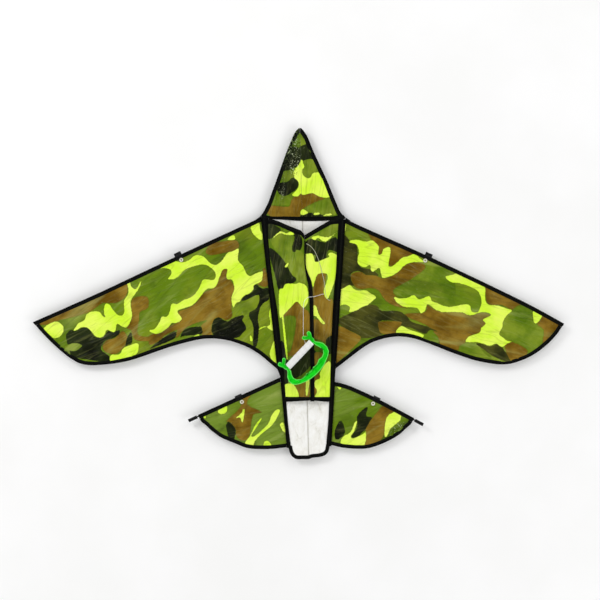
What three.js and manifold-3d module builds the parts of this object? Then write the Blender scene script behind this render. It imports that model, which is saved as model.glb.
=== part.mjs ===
// Plane-shaped single-line kite with its line winder.
// Millimetres. +X is the kite's right wing, +Y its nose, +Z its printed face.
// The kite lies on its back: the spreader sockets stand on z = 0.
import * as THREE from 'three';
import { mergeVertices } from 'three/addons/utils/BufferGeometryUtils.js';
import Module from 'manifold-3d';

const wasm = await Module();
wasm.setup();

// ---- driving dimensions -------------------------------------------------
const CLOTH = 0.6;            // sail cloth thickness of the solids
const GAP = 0.4;              // clearance between neighbouring pieces
const SAIL_Z = 14.2;          // mid plane of wings and tail planes
const BACK_Z = 14.2;          // mid plane of the back panel
const NOSE_Z = 15.3;          // mid plane of the nose panels
const HINGE_Z = 16.8;         // fold line height over the side seams
const SLEEVE_W = 10.5;        // visible width of a spar sleeve
const SLEEVE_R = 3.9;         // outer radius of the sleeve round its spar
const SLEEVE_BORE = 2.9;
const WING_SPAR_R = 2.5;
const TAIL_SPAR_R = 2.0;
const TAPE_W = 10.0;          // binding tape width
const NOSE_TAPE_W = 11.0;
const SPREADER_Z = 4.2;       // spreader axis height
const SOCKET_R = 4.2;
const SOCKET_L = 32;
const WING_SPREADER_R = 2.5;
const TAIL_SPREADER_R = 2.0;
const SPINE_Z = 10.4;
const SPINE_R = 2.5;
const SPINE_SLEEVE_R = 3.25;
const EYELET_R = 5.2;         // flange radius
const EYELET_BARREL_R = 2.9;
const EYELET_HOLE_R = 2.2;
const STRAP_W = 19;           // connector strap width along the leading edge
const LINE_D = 1.0;           // flying line
const BRIDLE_D = 1.4;         // bridle line
const WINDER_T = 6;           // winder plate thickness
const WINDER_Z = 39.8;        // winder mid plane
const WINDER_CENTRE = [3.7, -160.4];
const WINDER_ANGLE = Math.atan2(0.725, 0.687);   // direction of the winding bar
const WINDING_L = 90;
const WINDING_W = 18.6;
const WINDING_T = 14.6;

// ---- outlines in plan ---------------------------------------------------
const WING_FRONT_L = [[-99.9, 200.0], [-233.3, 138.8], [-378.3, 71.3], [-523.3, 3.0], [-602.4, -32.6], [-700.5, -75.8]];
const WING_REAR_L = [[-700.5, -75.8], [-681.5, -97.4], [-655.2, -125.1], [-628.8, -149.6], [-602.4, -170.2], [-576.1, -184.7], [-549.7, -189.4], [-523.3, -188.6], [-483.8, -184.7], [-444.3, -176.8], [-404.7, -164.1], [-365.2, -150.1], [-325.6, -137.2], [-286.1, -126.7], [-259.7, -121.1], [-233.3, -118.8], [-207.0, -120.4], [-180.6, -125.1], [-154.2, -133.5], [-127.9, -144.9], [-101.5, -161.5], [-75.1, -183.4], [-55.9, -199.7]];
const WING_FRONT_R = [[123.7, 196.8], [162.1, 178.4], [214.9, 154.9], [320.3, 108.2], [425.8, 59.2], [531.3, 8.8], [610.3, -30.2], [700.5, -79.5]];
const WING_REAR_R = [[700.5, -79.5], [681.5, -107.4], [663.1, -127.7], [636.7, -150.1], [610.3, -166.8], [584.0, -178.1], [557.6, -185.7], [531.3, -187.3], [504.9, -184.4], [465.3, -176.5], [425.8, -163.6], [399.4, -154.1], [373.1, -143.6], [346.7, -133.0], [320.3, -123.5], [294.0, -116.7], [267.6, -113.8], [241.2, -115.6], [214.9, -121.7], [188.5, -132.0], [162.1, -148.8], [135.8, -168.9], [97.8, -198.4]];
const TAIL_FRONT_L = [[-48.0, -221.1], [-143.7, -264.8], [-265.0, -320.2]];
const TAIL_REAR_L = [[-265.0, -320.2], [-257.6, -336.3], [-242.8, -348.9], [-228.1, -362.7], [-204.9, -379.5], [-185.9, -388.0], [-164.8, -396.4], [-141.6, -405.9], [-122.6, -409.6], [-101.5, -410.6], [-80.4, -410.6], [-59.3, -409.1], [-30.8, -405.4]];
const TAIL_FRONT_R = [[96.0, -233.2], [114.7, -237.4], [135.8, -244.0], [162.1, -255.3], [188.5, -267.5], [214.9, -280.7], [267.6, -308.6], [305.0, -328.9]];
const TAIL_REAR_R = [[305.0, -328.9], [296.6, -344.2], [283.4, -356.1], [267.6, -370.6], [249.1, -382.4], [228.1, -393.0], [201.7, -403.5], [180.6, -408.8], [156.9, -409.8], [135.8, -408.8], [114.7, -406.4], [86.2, -399.6]];
const NOSE_L = [[2.1, 437.0], [-5.8, 429.9], [-13.4, 416.7], [-26.6, 386.1], [-41.4, 346.6], [-58.5, 298.1], [-70.1, 266.9], [-79.9, 239.5], [-88.6, 221.9], [-98.3, 206.0]];
const NOSE_R = [[5.8, 437.0], [13.4, 429.4], [24.5, 411.4], [37.7, 379.3], [53.5, 344.7], [75.9, 296.7], [88.3, 266.4], [101.0, 235.6], [110.5, 215.0], [123.4, 200.0]];
const HINGE_WL = [[-99.1, 202.6], [-55.4, -200.8]];
const HINGE_WR = [[123.9, 197.9], [97.6, -200.0]];
const HINGE_TL = [[-48.0, -219.2], [-30.1, -408.0]];
const HINGE_TR = [[96.0, -231.4], [85.9, -403.3]];
const SEAM_INNER_L = [[-79.6, 198.4], [-79.9, 154.1], [-76.7, 114.6], [-71.2, 61.8], [-63.8, 9.1], [-55.1, -43.6], [-49.0, -96.4], [-42.7, -162.3], [-38.2, -207.1], [-35.6, -241.4], [-33.0, -280.9], [-27.4, -346.8], [-22.4, -386.4], [-20.0, -406.4]];
const SEAM_INNER_R = [[105.2, 196.6], [104.4, 180.5], [100.7, 114.6], [98.3, 61.8], [93.3, 9.1], [89.4, -43.6], [87.0, -96.4], [85.7, -149.1], [83.8, -201.8], [82.5, -254.6], [80.9, -294.1], [79.1, -333.6], [76.5, -365.3], [74.3, -386.4], [73.6, -402.7]];
const KEEL = [[16.3, 154.1], [16.1, 114.6], [16.9, 75.0], [20.6, 48.6], [26.6, 22.3], [29.8, -17.3], [31.1, -83.2], [32.4, -149.1], [33.0, -215.0], [32.7, -273.0], [32.4, -288.8]];
const HEM_BACK = [[-25.8, -409.6], [-22.4, -421.2], [-16.6, -430.1], [-6.6, -436.5], [11.9, -437.1], [27.7, -436.7], [35.6, -433.8], [56.7, -431.2], [70.4, -426.5], [78.3, -418.5], [81.7, -406.4]];
const SPINE = [[4.2, 417.0], [26.6, -423.0]];
const NOSE_HEM = [[-72.8, 203.1], [-41.1, 203.1], [6.6, 202.6], [51.4, 202.6], [89.4, 203.1], [84.6, 193.4], [49.8, 191.0], [5.3, 191.3], [-35.6, 194.4], [-72.0, 197.3]];
const EYELETS = { wing_left: [-309.3, 89.2], wing_right: [334.8, 88.2], tail_left: [-149.2, -285.9], tail_right: [196.7, -290.4] };
// height of the two body panels over the back panel along the kite
const KEEL_HEIGHT = [[155, 33], [110, 32.4], [0, 31], [-120, 29], [-290, 26]];
const CREASE_HEIGHT = [[200, 15.6], [115, 19.5], [36, 23.5], [-120, 23.5], [-290, 21]];
// where the front edge of the body panels runs, as a share of the way from seam to keel
const INTAKE_L = [[0, 196.4], [0.1, 196.2], [0.3, 189.8], [0.5, 181], [0.7, 172.7], [0.9, 165.6], [1, 154.2]];
const INTAKE_R = [[0, 196.6], [0.23, 194.2], [0.47, 181.5], [0.68, 170.4], [0.89, 159.3], [1, 153.6]];
const INTAKE_TAPE = 13;
const OUTLET_Y = -271.8;

// ---- helpers ------------------------------------------------------------
const group = new THREE.Group();
const MAT = {
  camo: [0x8fa63a, 0.45], back: [0xf2f1ea, 0.5], tape: [0x0d0d0d, 0.6], rod: [0x1c1c1e, 0.35],
  vinyl: [0x101010, 0.4], eyelet: [0xd9d6cb, 0.3], green: [0x12a82a, 0.35], line: [0xf4f4f0, 0.7],
};
function add(name, geometry, mat) {
  geometry.computeVertexNormals();
  const metal = mat === 'eyelet' ? 0.9 : 0;
  const mesh = new THREE.Mesh(geometry, new THREE.MeshStandardMaterial({ color: MAT[mat][0], roughness: MAT[mat][1], metalness: metal }));
  mesh.name = name;
  group.add(mesh);
  return mesh;
}
function weld(geometry) {
  const g = geometry.clone();
  g.deleteAttribute('normal');
  g.deleteAttribute('uv');
  return mergeVertices(g, 1e-4);
}
function orient(geometry) {
  const g = weld(geometry);
  const p = g.attributes.position, ix = g.index.array;
  let v = 0;
  const a = new THREE.Vector3(), b = new THREE.Vector3(), c = new THREE.Vector3();
  for (let i = 0; i < ix.length; i += 3) {
    a.fromBufferAttribute(p, ix[i]); b.fromBufferAttribute(p, ix[i + 1]); c.fromBufferAttribute(p, ix[i + 2]);
    v += a.dot(b.cross(c));
  }
  if (v < 0) for (let i = 0; i < ix.length; i += 3) { const t = ix[i]; ix[i] = ix[i + 1]; ix[i + 1] = t; }
  return g;
}
function solid(geometry) {
  const g = orient(geometry);
  return new wasm.Manifold(new wasm.Mesh({
    numProp: 3,
    vertProperties: new Float32Array(g.attributes.position.array),
    triVerts: new Uint32Array(g.index.array),
  }));
}
function geometryOf(manifold) {
  const m = manifold.getMesh();
  const g = new THREE.BufferGeometry();
  g.setAttribute('position', new THREE.BufferAttribute(new Float32Array(m.vertProperties), 3));
  g.setIndex(new THREE.BufferAttribute(new Uint32Array(m.triVerts), 1));
  return g;
}
const sub = (a, b) => [a[0] - b[0], a[1] - b[1]];
const unit = (a) => { const l = Math.hypot(a[0], a[1]); return [a[0] / l, a[1] / l]; };
const lerp = (a, b, t) => a + (b - a) * t;
function table(rows, x) {              // linear look-up, rows sorted up or down
  const up = rows[rows.length - 1][0] > rows[0][0];
  const r = up ? rows : [...rows].reverse();
  if (x <= r[0][0]) return r[0][1];
  for (let i = 1; i < r.length; i++) {
    if (x <= r[i][0]) return lerp(r[i - 1][1], r[i][1], (x - r[i - 1][0]) / (r[i][0] - r[i - 1][0]));
  }
  return r[r.length - 1][1];
}
function extend(rows, x) {             // the same, carried on in a straight line past the ends
  const r = rows[rows.length - 1][0] > rows[0][0] ? rows : [...rows].reverse();
  const n = r.length;
  if (x < r[0][0]) return lerp(r[0][1], r[1][1], (x - r[0][0]) / (r[1][0] - r[0][0]));
  if (x > r[n - 1][0]) return lerp(r[n - 2][1], r[n - 1][1], (x - r[n - 2][0]) / (r[n - 1][0] - r[n - 2][0]));
  return table(r, x);
}
const xAt = (path, y) => extend(path.map((p) => [p[1], p[0]]), y);
// mitred normals of an open plan path; side = 1 looks left of the direction of travel
function miters(path, side, startCut, endCut) {
  const out = [];
  for (let i = 0; i < path.length; i++) {
    const d0 = i > 0 ? unit(sub(path[i], path[i - 1])) : null;
    const d1 = i < path.length - 1 ? unit(sub(path[i + 1], path[i])) : null;
    const n0 = d0 && [-d0[1] * side, d0[0] * side];
    const n1 = d1 && [-d1[1] * side, d1[0] * side];
    let m;
    if (n0 && n1) {
      const s = unit([n0[0] + n1[0], n0[1] + n1[1]]);
      const k = 1 / Math.max(0.35, s[0] * n0[0] + s[1] * n0[1]);
      m = [s[0] * k, s[1] * k];
    } else {
      const n = n0 || n1, cut = n0 ? endCut : startCut;
      if (cut) { const k = cut[0] * n[0] + cut[1] * n[1]; m = [cut[0] / k, cut[1] / k]; } else m = n;
    }
    out.push(m);
  }
  return out;
}
function offset(path, d, side) {
  const m = miters(path, side);
  return path.map((p, i) => [p[0] + m[i][0] * d, p[1] + m[i][1] * d]);
}
// a profile [v, z] carried along a plan path, v measured from the path towards side
function sweep(profile, path, side, z, startCut, endCut) {
  const shape = new THREE.Shape(profile.map((p) => new THREE.Vector2(p[0], p[1])));
  const steps = path.length - 1;
  const g = new THREE.ExtrudeGeometry(shape, { depth: 1, steps, bevelEnabled: false });
  const m = miters(path, side, startCut, endCut);
  const p = g.attributes.position;
  for (let i = 0; i < p.count; i++) {
    const k = Math.round(p.getZ(i) * steps), v = p.getX(i), h = p.getY(i);
    p.setXYZ(i, path[k][0] + m[k][0] * v, path[k][1] + m[k][1] * v, z + h);
  }
  return orient(g);
}
function plate(points, z0, z1) {
  const g = new THREE.ExtrudeGeometry(new THREE.Shape(points.map((p) => new THREE.Vector2(p[0], p[1]))), { depth: z1 - z0, bevelEnabled: false });
  g.translate(0, 0, z0);
  return orient(g);
}
function meet(p, d, q, e) {            // crossing point of two lines
  const k = d[0] * e[1] - d[1] * e[0];
  const t = ((q[0] - p[0]) * e[1] - (q[1] - p[1]) * e[0]) / k;
  return [p[0] + d[0] * t, p[1] + d[1] * t];
}
function trimStart(path, p, d) {       // move a path's first point onto a line
  const out = path.map((q) => [...q]);
  out[0] = meet(out[0], sub(out[1], out[0]), p, d);
  return out;
}
const trimEnd = (path, p, d) => trimStart([...path].reverse(), p, d).reverse();
function cylinder(x, y, r, z0, z1, n = 16) {
  const g = new THREE.CylinderGeometry(r, r, z1 - z0, n);
  g.rotateX(Math.PI / 2);
  g.translate(x, y, (z0 + z1) / 2);
  return g;
}
const circle = (v, r, n) => Array.from({ length: n }, (_, i) => [v + r * Math.cos(2 * Math.PI * i / n), r * Math.sin(2 * Math.PI * i / n)]);
// a bent cloth sheet: fn(u, v) gives its mid surface
function sheet(nu, nv, fn, t) {
  const g = new THREE.BoxGeometry(1, 1, 1, nu, nv, 1);
  const p = g.attributes.position, e = 1e-3;
  for (let i = 0; i < p.count; i++) {
    const u = p.getX(i) + 0.5, v = p.getY(i) + 0.5, w = p.getZ(i);
    const c = fn(u, v), u0 = Math.max(0, u - e), v0 = Math.max(0, v - e);
    const a = fn(u0, v), b = fn(u0 + 2 * e, v), c0 = fn(u, v0), c1 = fn(u, v0 + 2 * e);
    const n = new THREE.Vector3(b[0] - a[0], b[1] - a[1], b[2] - a[2]).cross(new THREE.Vector3(c1[0] - c0[0], c1[1] - c0[1], c1[2] - c0[2])).normalize();
    if (n.z < 0) n.negate();
    p.setXYZ(i, c[0] + n.x * w * t, c[1] + n.y * w * t, c[2] + n.z * w * t);
  }
  return orient(g);
}
function cord(points, r) {
  const curve = new THREE.CatmullRomCurve3(points.map((p) => new THREE.Vector3(...p)), false, 'centripetal');
  const shape = new THREE.Shape(circle(0, r, 8).map((p) => new THREE.Vector2(p[0], p[1])));
  return orient(new THREE.ExtrudeGeometry(shape, { steps: Math.min(78, Math.ceil(curve.getLength() / 5)), bevelEnabled: false, extrudePath: curve }));
}

// ---- profiles -----------------------------------------------------------
const deg = Math.PI / 180;
const arc = (r, list) => list.map((a) => [SLEEVE_R + r * Math.cos(a * deg), r * Math.sin(a * deg)]);
const SLEEVE = [
  [SLEEVE_W, 1.3], [7.6, 1.3], ...arc(SLEEVE_R, [50, 90, 135, 180, 225, 270, 310]), [7.6, -1.3], [SLEEVE_W, -1.3],
  [SLEEVE_W, -0.65], [7.2, -0.65], ...arc(SLEEVE_BORE, [-13, -45, -80, -115, -150, 180, 150, 115, 80, 45, 13]), [7.2, 0.65], [SLEEVE_W, 0.65],
];
const binding = (w, h, g) => [[0, -h], [w, -h], [w, -g], [1.6, -g], [1.6, g], [w, g], [w, h], [0, h]];
const BINDING = binding(TAPE_W, 1.2, 0.65);

// ---- one wing or tail plane --------------------------------------------
// front runs from root to tip, rear from tip to root; side is the inward side of the front edge
function aerofoil(kind, lr, front, rear, hinge, sparR, sparFrom, sparPast, eyeletAt) {
  const side = lr === 'left' ? 1 : -1;             // inward side of the front edge, root to tip
  const hd = unit(sub(hinge[1], hinge[0]));
  const out = lr === 'left' ? [hd[1], -hd[0]] : [-hd[1], hd[0]];
  const away = (out[0] * (lr === 'left' ? -1 : 1)) > 0 ? out : [-out[0], -out[1]];
  const root = [hinge[0][0] + away[0] * GAP, hinge[0][1] + away[1] * GAP];
  const f = trimStart(front, root, hd);
  const tip = f[f.length - 1];
  const fd = unit(sub(f[f.length - 1], f[f.length - 2]));
  const rd = unit(sub(rear[1], rear[0]));
  // spar sleeve, cut along the fold line at the root and along the rear edge at the tip
  const sleeveName = `${kind}_spar_sleeve_${lr}`;
  let sleeve = solid(sweep(SLEEVE, f, side, SAIL_Z, hd, rd));
  // rear binding starts behind the sleeve
  const inner = offset(f, SLEEVE_W + GAP, side);
  let r = trimStart(rear, inner[inner.length - 1], fd);
  r = trimEnd(r, root, hd);
  const rearTape = sweep(BINDING, r, side, SAIL_Z, fd, hd);
  // cloth, tucked into both bindings
  const cf = offset(f, 7.9, side), cr = offset(rear, 2.3, side);
  const rootIn = [root[0] + away[0] * 0.2, root[1] + away[1] * 0.2];
  const a = meet(cf[0], sub(cf[1], cf[0]), rootIn, hd);
  const b = meet(cf[cf.length - 1], sub(cf[cf.length - 1], cf[cf.length - 2]), cr[0], sub(cr[1], cr[0]));
  const c = meet(cr[cr.length - 1], sub(cr[cr.length - 1], cr[cr.length - 2]), rootIn, hd);
  const outline = [a, ...cf.slice(1, -1), b, ...cr.slice(1, -1), c];
  let cloth = solid(plate(outline, SAIL_Z - CLOTH / 2, SAIL_Z + CLOTH / 2));
  // nearest point of the front edge to the eyelet
  let best = null;
  for (let i = 0; i < f.length - 1; i++) {
    const d = unit(sub(f[i + 1], f[i])), w = sub(eyeletAt, f[i]);
    const t = w[0] * d[0] + w[1] * d[1], n = [-d[1] * side, d[0] * side];
    const dist = w[0] * n[0] + w[1] * n[1];
    if (t >= 0 && t <= Math.hypot(...sub(f[i + 1], f[i])) && (!best || dist < best.v)) best = { d, n, v: dist, p: [f[i][0] + d[0] * t, f[i][1] + d[1] * t] };
  }
  const ev = Math.max(best.v, 13.6);
  const e = [best.p[0] + best.n[0] * ev, best.p[1] + best.n[1] * ev];
  const hole = () => solid(cylinder(e[0], e[1], EYELET_BARREL_R + 0.35, 0, 40));
  sleeve = sleeve.subtract(hole());
  cloth = cloth.subtract(hole());
  // strap round the leading edge: the upper leaf ends on the sleeve, the lower one runs past the eyelet
  const end = ev + 7.6;
  const loop = kind === 'wing' ? 8.2 : 3.6;   // how far the fold stands off the leading edge
  const strap = [
    [8.1, 2.9], [7.3, 4.3], [3.9, 5.6], [1.0, 5.2], [-2.2, 3.4], [0.4 - loop, 1.9], [-0.5 - loop, 0.9], [-0.5 - loop, -0.9], [0.4 - loop, -1.9], [-2.2, -3.4], [1.0, -5.2], [3.9, -5.6], [7.3, -4.3], [8.3, -2.9], [end, -2.9],
    [end, -1.75], [7.9, -1.75], [6.7, -3.4], [3.9, -4.35], [0.8, -3.8], [-1.9, -2.15], [0.75 - loop, -0.6], [0.75 - loop, 0.6], [-1.9, 2.15], [0.8, 3.8], [3.9, 4.35], [6.7, 3.4], [8.1, 1.75],
  ];
  const s0 = [best.p[0] - best.d[0] * (STRAP_W * 0.38), best.p[1] - best.d[1] * (STRAP_W * 0.38)];
  const s1 = [best.p[0] + best.d[0] * (STRAP_W * 0.62), best.p[1] + best.d[1] * (STRAP_W * 0.62)];
  const strapSolid = solid(sweep(strap, [s0, s1], side, SAIL_Z)).subtract(hole());
  const lathe = [[EYELET_HOLE_R, -3.9], [EYELET_R, -3.9], [EYELET_R, -3.2], [EYELET_BARREL_R, -3.2], [EYELET_BARREL_R, 1.65], [EYELET_R, 1.65], [EYELET_R, 2.35], [EYELET_HOLE_R, 2.35], [EYELET_HOLE_R, -3.9]];
  const ring = new THREE.LatheGeometry(lathe.map((p) => new THREE.Vector2(p[0], p[1])), 18);
  ring.rotateX(Math.PI / 2);
  ring.translate(e[0], e[1], SAIL_Z);
  // spar in the sleeve
  const sp = [];
  const past = (p, d, k) => [p[0] + d[0] * k, p[1] + d[1] * k];
  const pts = offset(f, SLEEVE_R, side);
  let gone = 0;
  for (let i = 0; i < pts.length - 1; i++) {
    const l = Math.hypot(...sub(pts[i + 1], pts[i]));
    if (gone + l > sparFrom) { if (!sp.length) sp.push(past(pts[i], unit(sub(pts[i + 1], pts[i])), Math.max(0, sparFrom - gone))); else sp.push(pts[i]); }
    gone += l;
  }
  sp.push(past(pts[pts.length - 1], fd, sparPast));
  const spar = sweep(circle(0, sparR, 10), sp, side, SAIL_Z);
  add(`${kind}_panel_${lr}`, geometryOf(cloth), 'camo');
  add(sleeveName, geometryOf(sleeve), 'tape');
  add(`${kind}_spar_${lr}`, spar, 'rod');
  add(`${kind}_trailing_tape_${lr}`, rearTape, 'tape');
  add(`${kind}_connector_${lr}`, geometryOf(strapSolid), 'vinyl');
  add(`${kind}_eyelet_${lr}`, orient(ring), 'eyelet');
  if (sparPast > 0) {                // cap on the rod end that sticks out
    const c0 = past(pts[pts.length - 1], fd, Math.max(sparPast - 24, 4.5)), c1 = past(pts[pts.length - 1], fd, sparPast + 2);
    let cap = solid(sweep(circle(0, 4.4, 14), [c0, c1], side, SAIL_Z));
    cap = cap.subtract(solid(sweep(circle(0, sparR + 0.35, 12), [past(c0, fd, -3), past(c1, fd, -1.6)], side, SAIL_Z)));
    add(`${kind}_spar_cap_${lr}`, geometryOf(cap), 'vinyl');
  }
  return e;
}
const eWL = aerofoil('wing', 'left', WING_FRONT_L, WING_REAR_L, HINGE_WL, WING_SPAR_R, 12, -16, EYELETS.wing_left);
const eWR = aerofoil('wing', 'right', WING_FRONT_R, WING_REAR_R, HINGE_WR, WING_SPAR_R, 16, -16, EYELETS.wing_right);
const eTL = aerofoil('tail', 'left', TAIL_FRONT_L, TAIL_REAR_L, HINGE_TL, TAIL_SPAR_R, 12, 27, EYELETS.tail_left);
const eTR = aerofoil('tail', 'right', TAIL_FRONT_R, TAIL_REAR_R, HINGE_TR, TAIL_SPAR_R, 34, 27, EYELETS.tail_right);

// ---- side seams: the fixed strips between fold lines and tunnel ---------
function seamTape(lr, hw, ht, innerPath, topCorner) {
  const s = lr === 'left' ? 1 : -1;
  const o = [
    [hw[0][0] + s * 0, hw[0][1] - 3.0], [hw[1][0], hw[1][1]], [ht[0][0], ht[0][1]], [ht[1][0], ht[1][1] + 0.6],
  ];
  const poly = [topCorner, ...o.map((p) => p), ...[...innerPath].reverse()];
  add(`side_seam_tape_${lr}`, plate(poly, 12.9, 16.4), 'tape');
}
seamTape('left', HINGE_WL, HINGE_TL, SEAM_INNER_L, [-90.5, 199.2]);
seamTape('right', HINGE_WR, HINGE_TR, SEAM_INNER_R, [115.5, 197.2]);

// ---- nose ---------------------------------------------------------------
const NOSE_BIND = binding(NOSE_TAPE_W, 1.75, 1.2);
const noseMid = 14.75;
const spineX = (y) => xAt(SPINE, y);
const half = (s) => solid(plate([[s * 260, 500], [spineX(500) + s * 0.25, 500], [spineX(150) + s * 0.25, 150], [s * 260, 150]], 0, 40));
add('nose_edge_tape_left', geometryOf(solid(sweep(NOSE_BIND, NOSE_L, 1, noseMid, undefined, [1, 0])).intersect(half(-1))), 'tape');
add('nose_edge_tape_right', geometryOf(solid(sweep(NOSE_BIND, NOSE_R, -1, noseMid, undefined, [1, 0])).intersect(half(1))), 'tape');

const nl = offset(NOSE_L, 2.5, 1), nr = offset(NOSE_R, 2.5, -1);
const centreX = spineX;
const noseHemTop = 203.4;
function nosePanel(lr) {
  const edge = lr === 'left' ? nl : nr, s = lr === 'left' ? -1 : 1;
  const pts = edge.filter((p) => p[1] > noseHemTop + 12 && p[1] < 424);
  const foot = [xAt(edge, noseHemTop + 7) , noseHemTop + 7];
  const lim = lr === 'left' ? Math.max(foot[0], -77) : Math.min(foot[0], 96);
  const poly = [[centreX(424) + s * 0.25, 424], ...pts.filter((p) => s * (p[0] - centreX(p[1])) > 1.5), [lim, foot[1]], [lim - s * 4, noseHemTop + 0.6], [centreX(noseHemTop) + s * 0.25, noseHemTop + 0.6]];
  add(`nose_panel_${lr}`, plate(poly, NOSE_Z - CLOTH / 2, NOSE_Z + CLOTH / 2), 'camo');
}
nosePanel('left');
nosePanel('right');
add('nose_hem_tape', plate(NOSE_HEM, 15.0, 16.4), 'tape');

// ---- back panel, nose to tail ------------------------------------------
const sl = SEAM_INNER_L.map((p) => [p[0] + GAP, p[1]]), sr = SEAM_INNER_R.map((p) => [p[0] - GAP, p[1]]);
const backPoly = [
  [centreX(424), 424],
  ...nl.filter((p) => p[1] < 420 && p[1] > 222), [-77.5, 208], [-77.5, 200],
  ...sl.filter((p) => p[1] < 190 && p[1] > -400),
  [-18.2, -407], [-13, -426], [11.9, -433.9], [27.7, -433.6], [56, -428.4], [69.5, -421], [72.5, -403],
  ...[...sr].reverse().filter((p) => p[1] < 190 && p[1] > -400),
  [101, 200], [101, 210], ...[...nr].reverse().filter((p) => p[1] < 420 && p[1] > 226),
];
add('back_panel', plate(backPoly, BACK_Z - CLOTH / 2, BACK_Z + CLOTH / 2), 'back');
add('back_hem_tape', sweep(binding(TAPE_W, 1.4, 0.65), HEM_BACK, 1, BACK_Z), 'tape');

// ---- air tunnel: two body panels that meet along the keel ---------------
const BASE_Z = 15.2;
const creaseShare = (lr, y) => lr === 'left' ? table([[200, 0.04], [115, 0.05], [0, 0.13], [-290, 0.16]], y) : 0.05;
function bodySurface(lr, s, y) {       // s = 0 at the side seam, 1 at the keel
  const x0 = lr === 'left' ? xAt(sl, y) + 0.4 : xAt(sr, y) - 0.7;
  const x1 = xAt(KEEL, y) + (lr === 'left' ? -0.25 : 0.25);
  const sc = creaseShare(lr, y), zc = table(CREASE_HEIGHT, y), zk = table(KEEL_HEIGHT, y);
  const z = s < sc ? lerp(BASE_Z, zc, s / sc) : zc + (zk - zc) * Math.pow((s - sc) / (1 - sc), 0.85);
  return [lerp(x0, x1, s), y, z];
}
const shares = (lr) => (lr === 'left' ? [0, 0.06, 0.12, 0.3, 0.5, 0.75, 1] : [0, 0.05, 0.2, 0.4, 0.6, 0.8, 1]);
function pick(list, u) {
  const k = u * (list.length - 1), i = Math.min(list.length - 2, Math.floor(k));
  return lerp(list[i], list[i + 1], k - i);
}
for (const lr of ['left', 'right']) {
  const intake = lr === 'left' ? INTAKE_L : INTAKE_R;
  const low = (s) => lerp(-285.6, -281.5, s);
  add(`body_panel_${lr}`, sheet(6, 10, (u, v) => {
    const s = pick(shares(lr), u);
    return bodySurface(lr, s, lerp(OUTLET_Y, table(intake, s) - INTAKE_TAPE - GAP, v));
  }, CLOTH), 'camo');
  add(`intake_tape_${lr}`, sheet(6, 2, (u, v) => {
    const s = pick(shares(lr), u);
    return bodySurface(lr, s, table(intake, s) - INTAKE_TAPE * (1 - v));
  }, 1.3), 'tape');
  add(`outlet_hem_tape_${lr}`, sheet(6, 1, (u, v) => {
    const s = pick(shares(lr), u);
    return bodySurface(lr, s, lerp(low(s), OUTLET_Y - GAP, v));
  }, 1.3), 'tape');
}
const keelWidth = (y) => table([[150, 2.4], [66, 2.6], [35, 9.2], [-290, 9.2]], y);
add('keel_tape', sheet(2, 14, (u, v) => {
  const y = lerp(-284, 139, v), x = lerp(-1.2, keelWidth(y), u);
  return [xAt(KEEL, y) + x, y, table(KEEL_HEIGHT, y) + 1.5 - 0.1 * Math.max(0, x)];
}, 0.8), 'tape');

// ---- spine --------------------------------------------------------------
const spineDir = unit(sub(SPINE[1], SPINE[0]));
const alongSpine = (d) => [SPINE[0][0] + spineDir[0] * d, SPINE[0][1] + spineDir[1] * d];
const spineLength = Math.hypot(...sub(SPINE[1], SPINE[0]));
const spinePath = [alongSpine(0), alongSpine(spineLength)];
const sleeveTube = solid(sweep(circle(0, SPINE_SLEEVE_R, 14), spinePath, 1, SPINE_Z))
  .subtract(solid(sweep(circle(0, SPINE_R + 0.3, 14), [alongSpine(-4), alongSpine(spineLength + 4)], 1, SPINE_Z)));
add('spine_sleeve', geometryOf(sleeveTube), 'back');
add('spine_rod', sweep(circle(0, SPINE_R, 12), [alongSpine(3), alongSpine(spineLength - 3)], 1, SPINE_Z), 'rod');

// ---- spreaders ----------------------------------------------------------
function spreader(kind, a, b, r) {
  const d = unit(sub(b, a));
  const at = (p, k) => [p[0] + d[0] * k, p[1] + d[1] * k];
  add(`${kind}_spreader_rod`, sweep(circle(0, r, 12), [at(a, 2), at(b, -2)], 1, SPREADER_Z), 'rod');
  const socket = (name, p, q) => {
    const m = solid(sweep(circle(0, SOCKET_R, 16), [p, q], 1, SPREADER_Z))
      .subtract(solid(sweep(circle(0, r + 0.3, 14), [at(p, -5), at(q, 5)], 1, SPREADER_Z)));
    add(name, geometryOf(m), 'vinyl');
  };
  socket(`${kind}_socket_left`, at(a, -2), at(a, SOCKET_L - 2));
  socket(`${kind}_socket_right`, at(b, -SOCKET_L + 2), at(b, 2));
}
spreader('wing', eWL, eWR, WING_SPREADER_R);
spreader('tail', eTL, eTR, TAIL_SPREADER_R);

// ---- winder -------------------------------------------------------------
// plan coordinates (a, n): a along the winding bar, n towards the finger grip
const GRIP_OUTER = [[52, -5.2], [53.5, 6.4], [58.9, 13.5], [64.0, 23.1], [64.4, 37.3], [59.0, 48.5], [49.0, 55.5], [34.5, 61.4], [22.6, 65.2], [6.9, 67.2], [-10, 67.0], [-23.9, 65.0], [-40.0, 60.4], [-54.7, 53.8], [-65.6, 46.2], [-70.5, 38.0], [-71.0, 27.5], [-65.6, 16.5], [-56.5, 8.7], [-53, 4], [-52, -5.2]];
const GRIP_INNER = [[46, 4.2], [46.5, 13], [48.6, 20], [50.5, 28], [49.6, 35.8], [44.5, 42.2], [36.5, 45.6], [29.5, 45.2], [24.5, 44.2], [18.5, 47.2], [11, 49.4], [5, 49.0], [0.5, 47.6], [-5.5, 50.0], [-13, 50.4], [-19, 49.0], [-24, 46.6], [-29.5, 48.0], [-37.2, 47.4], [-45.2, 45.8], [-53.7, 38.4], [-56.0, 29.3], [-52.4, 19.9], [-47, 13], [-46, 4.2]];
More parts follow.
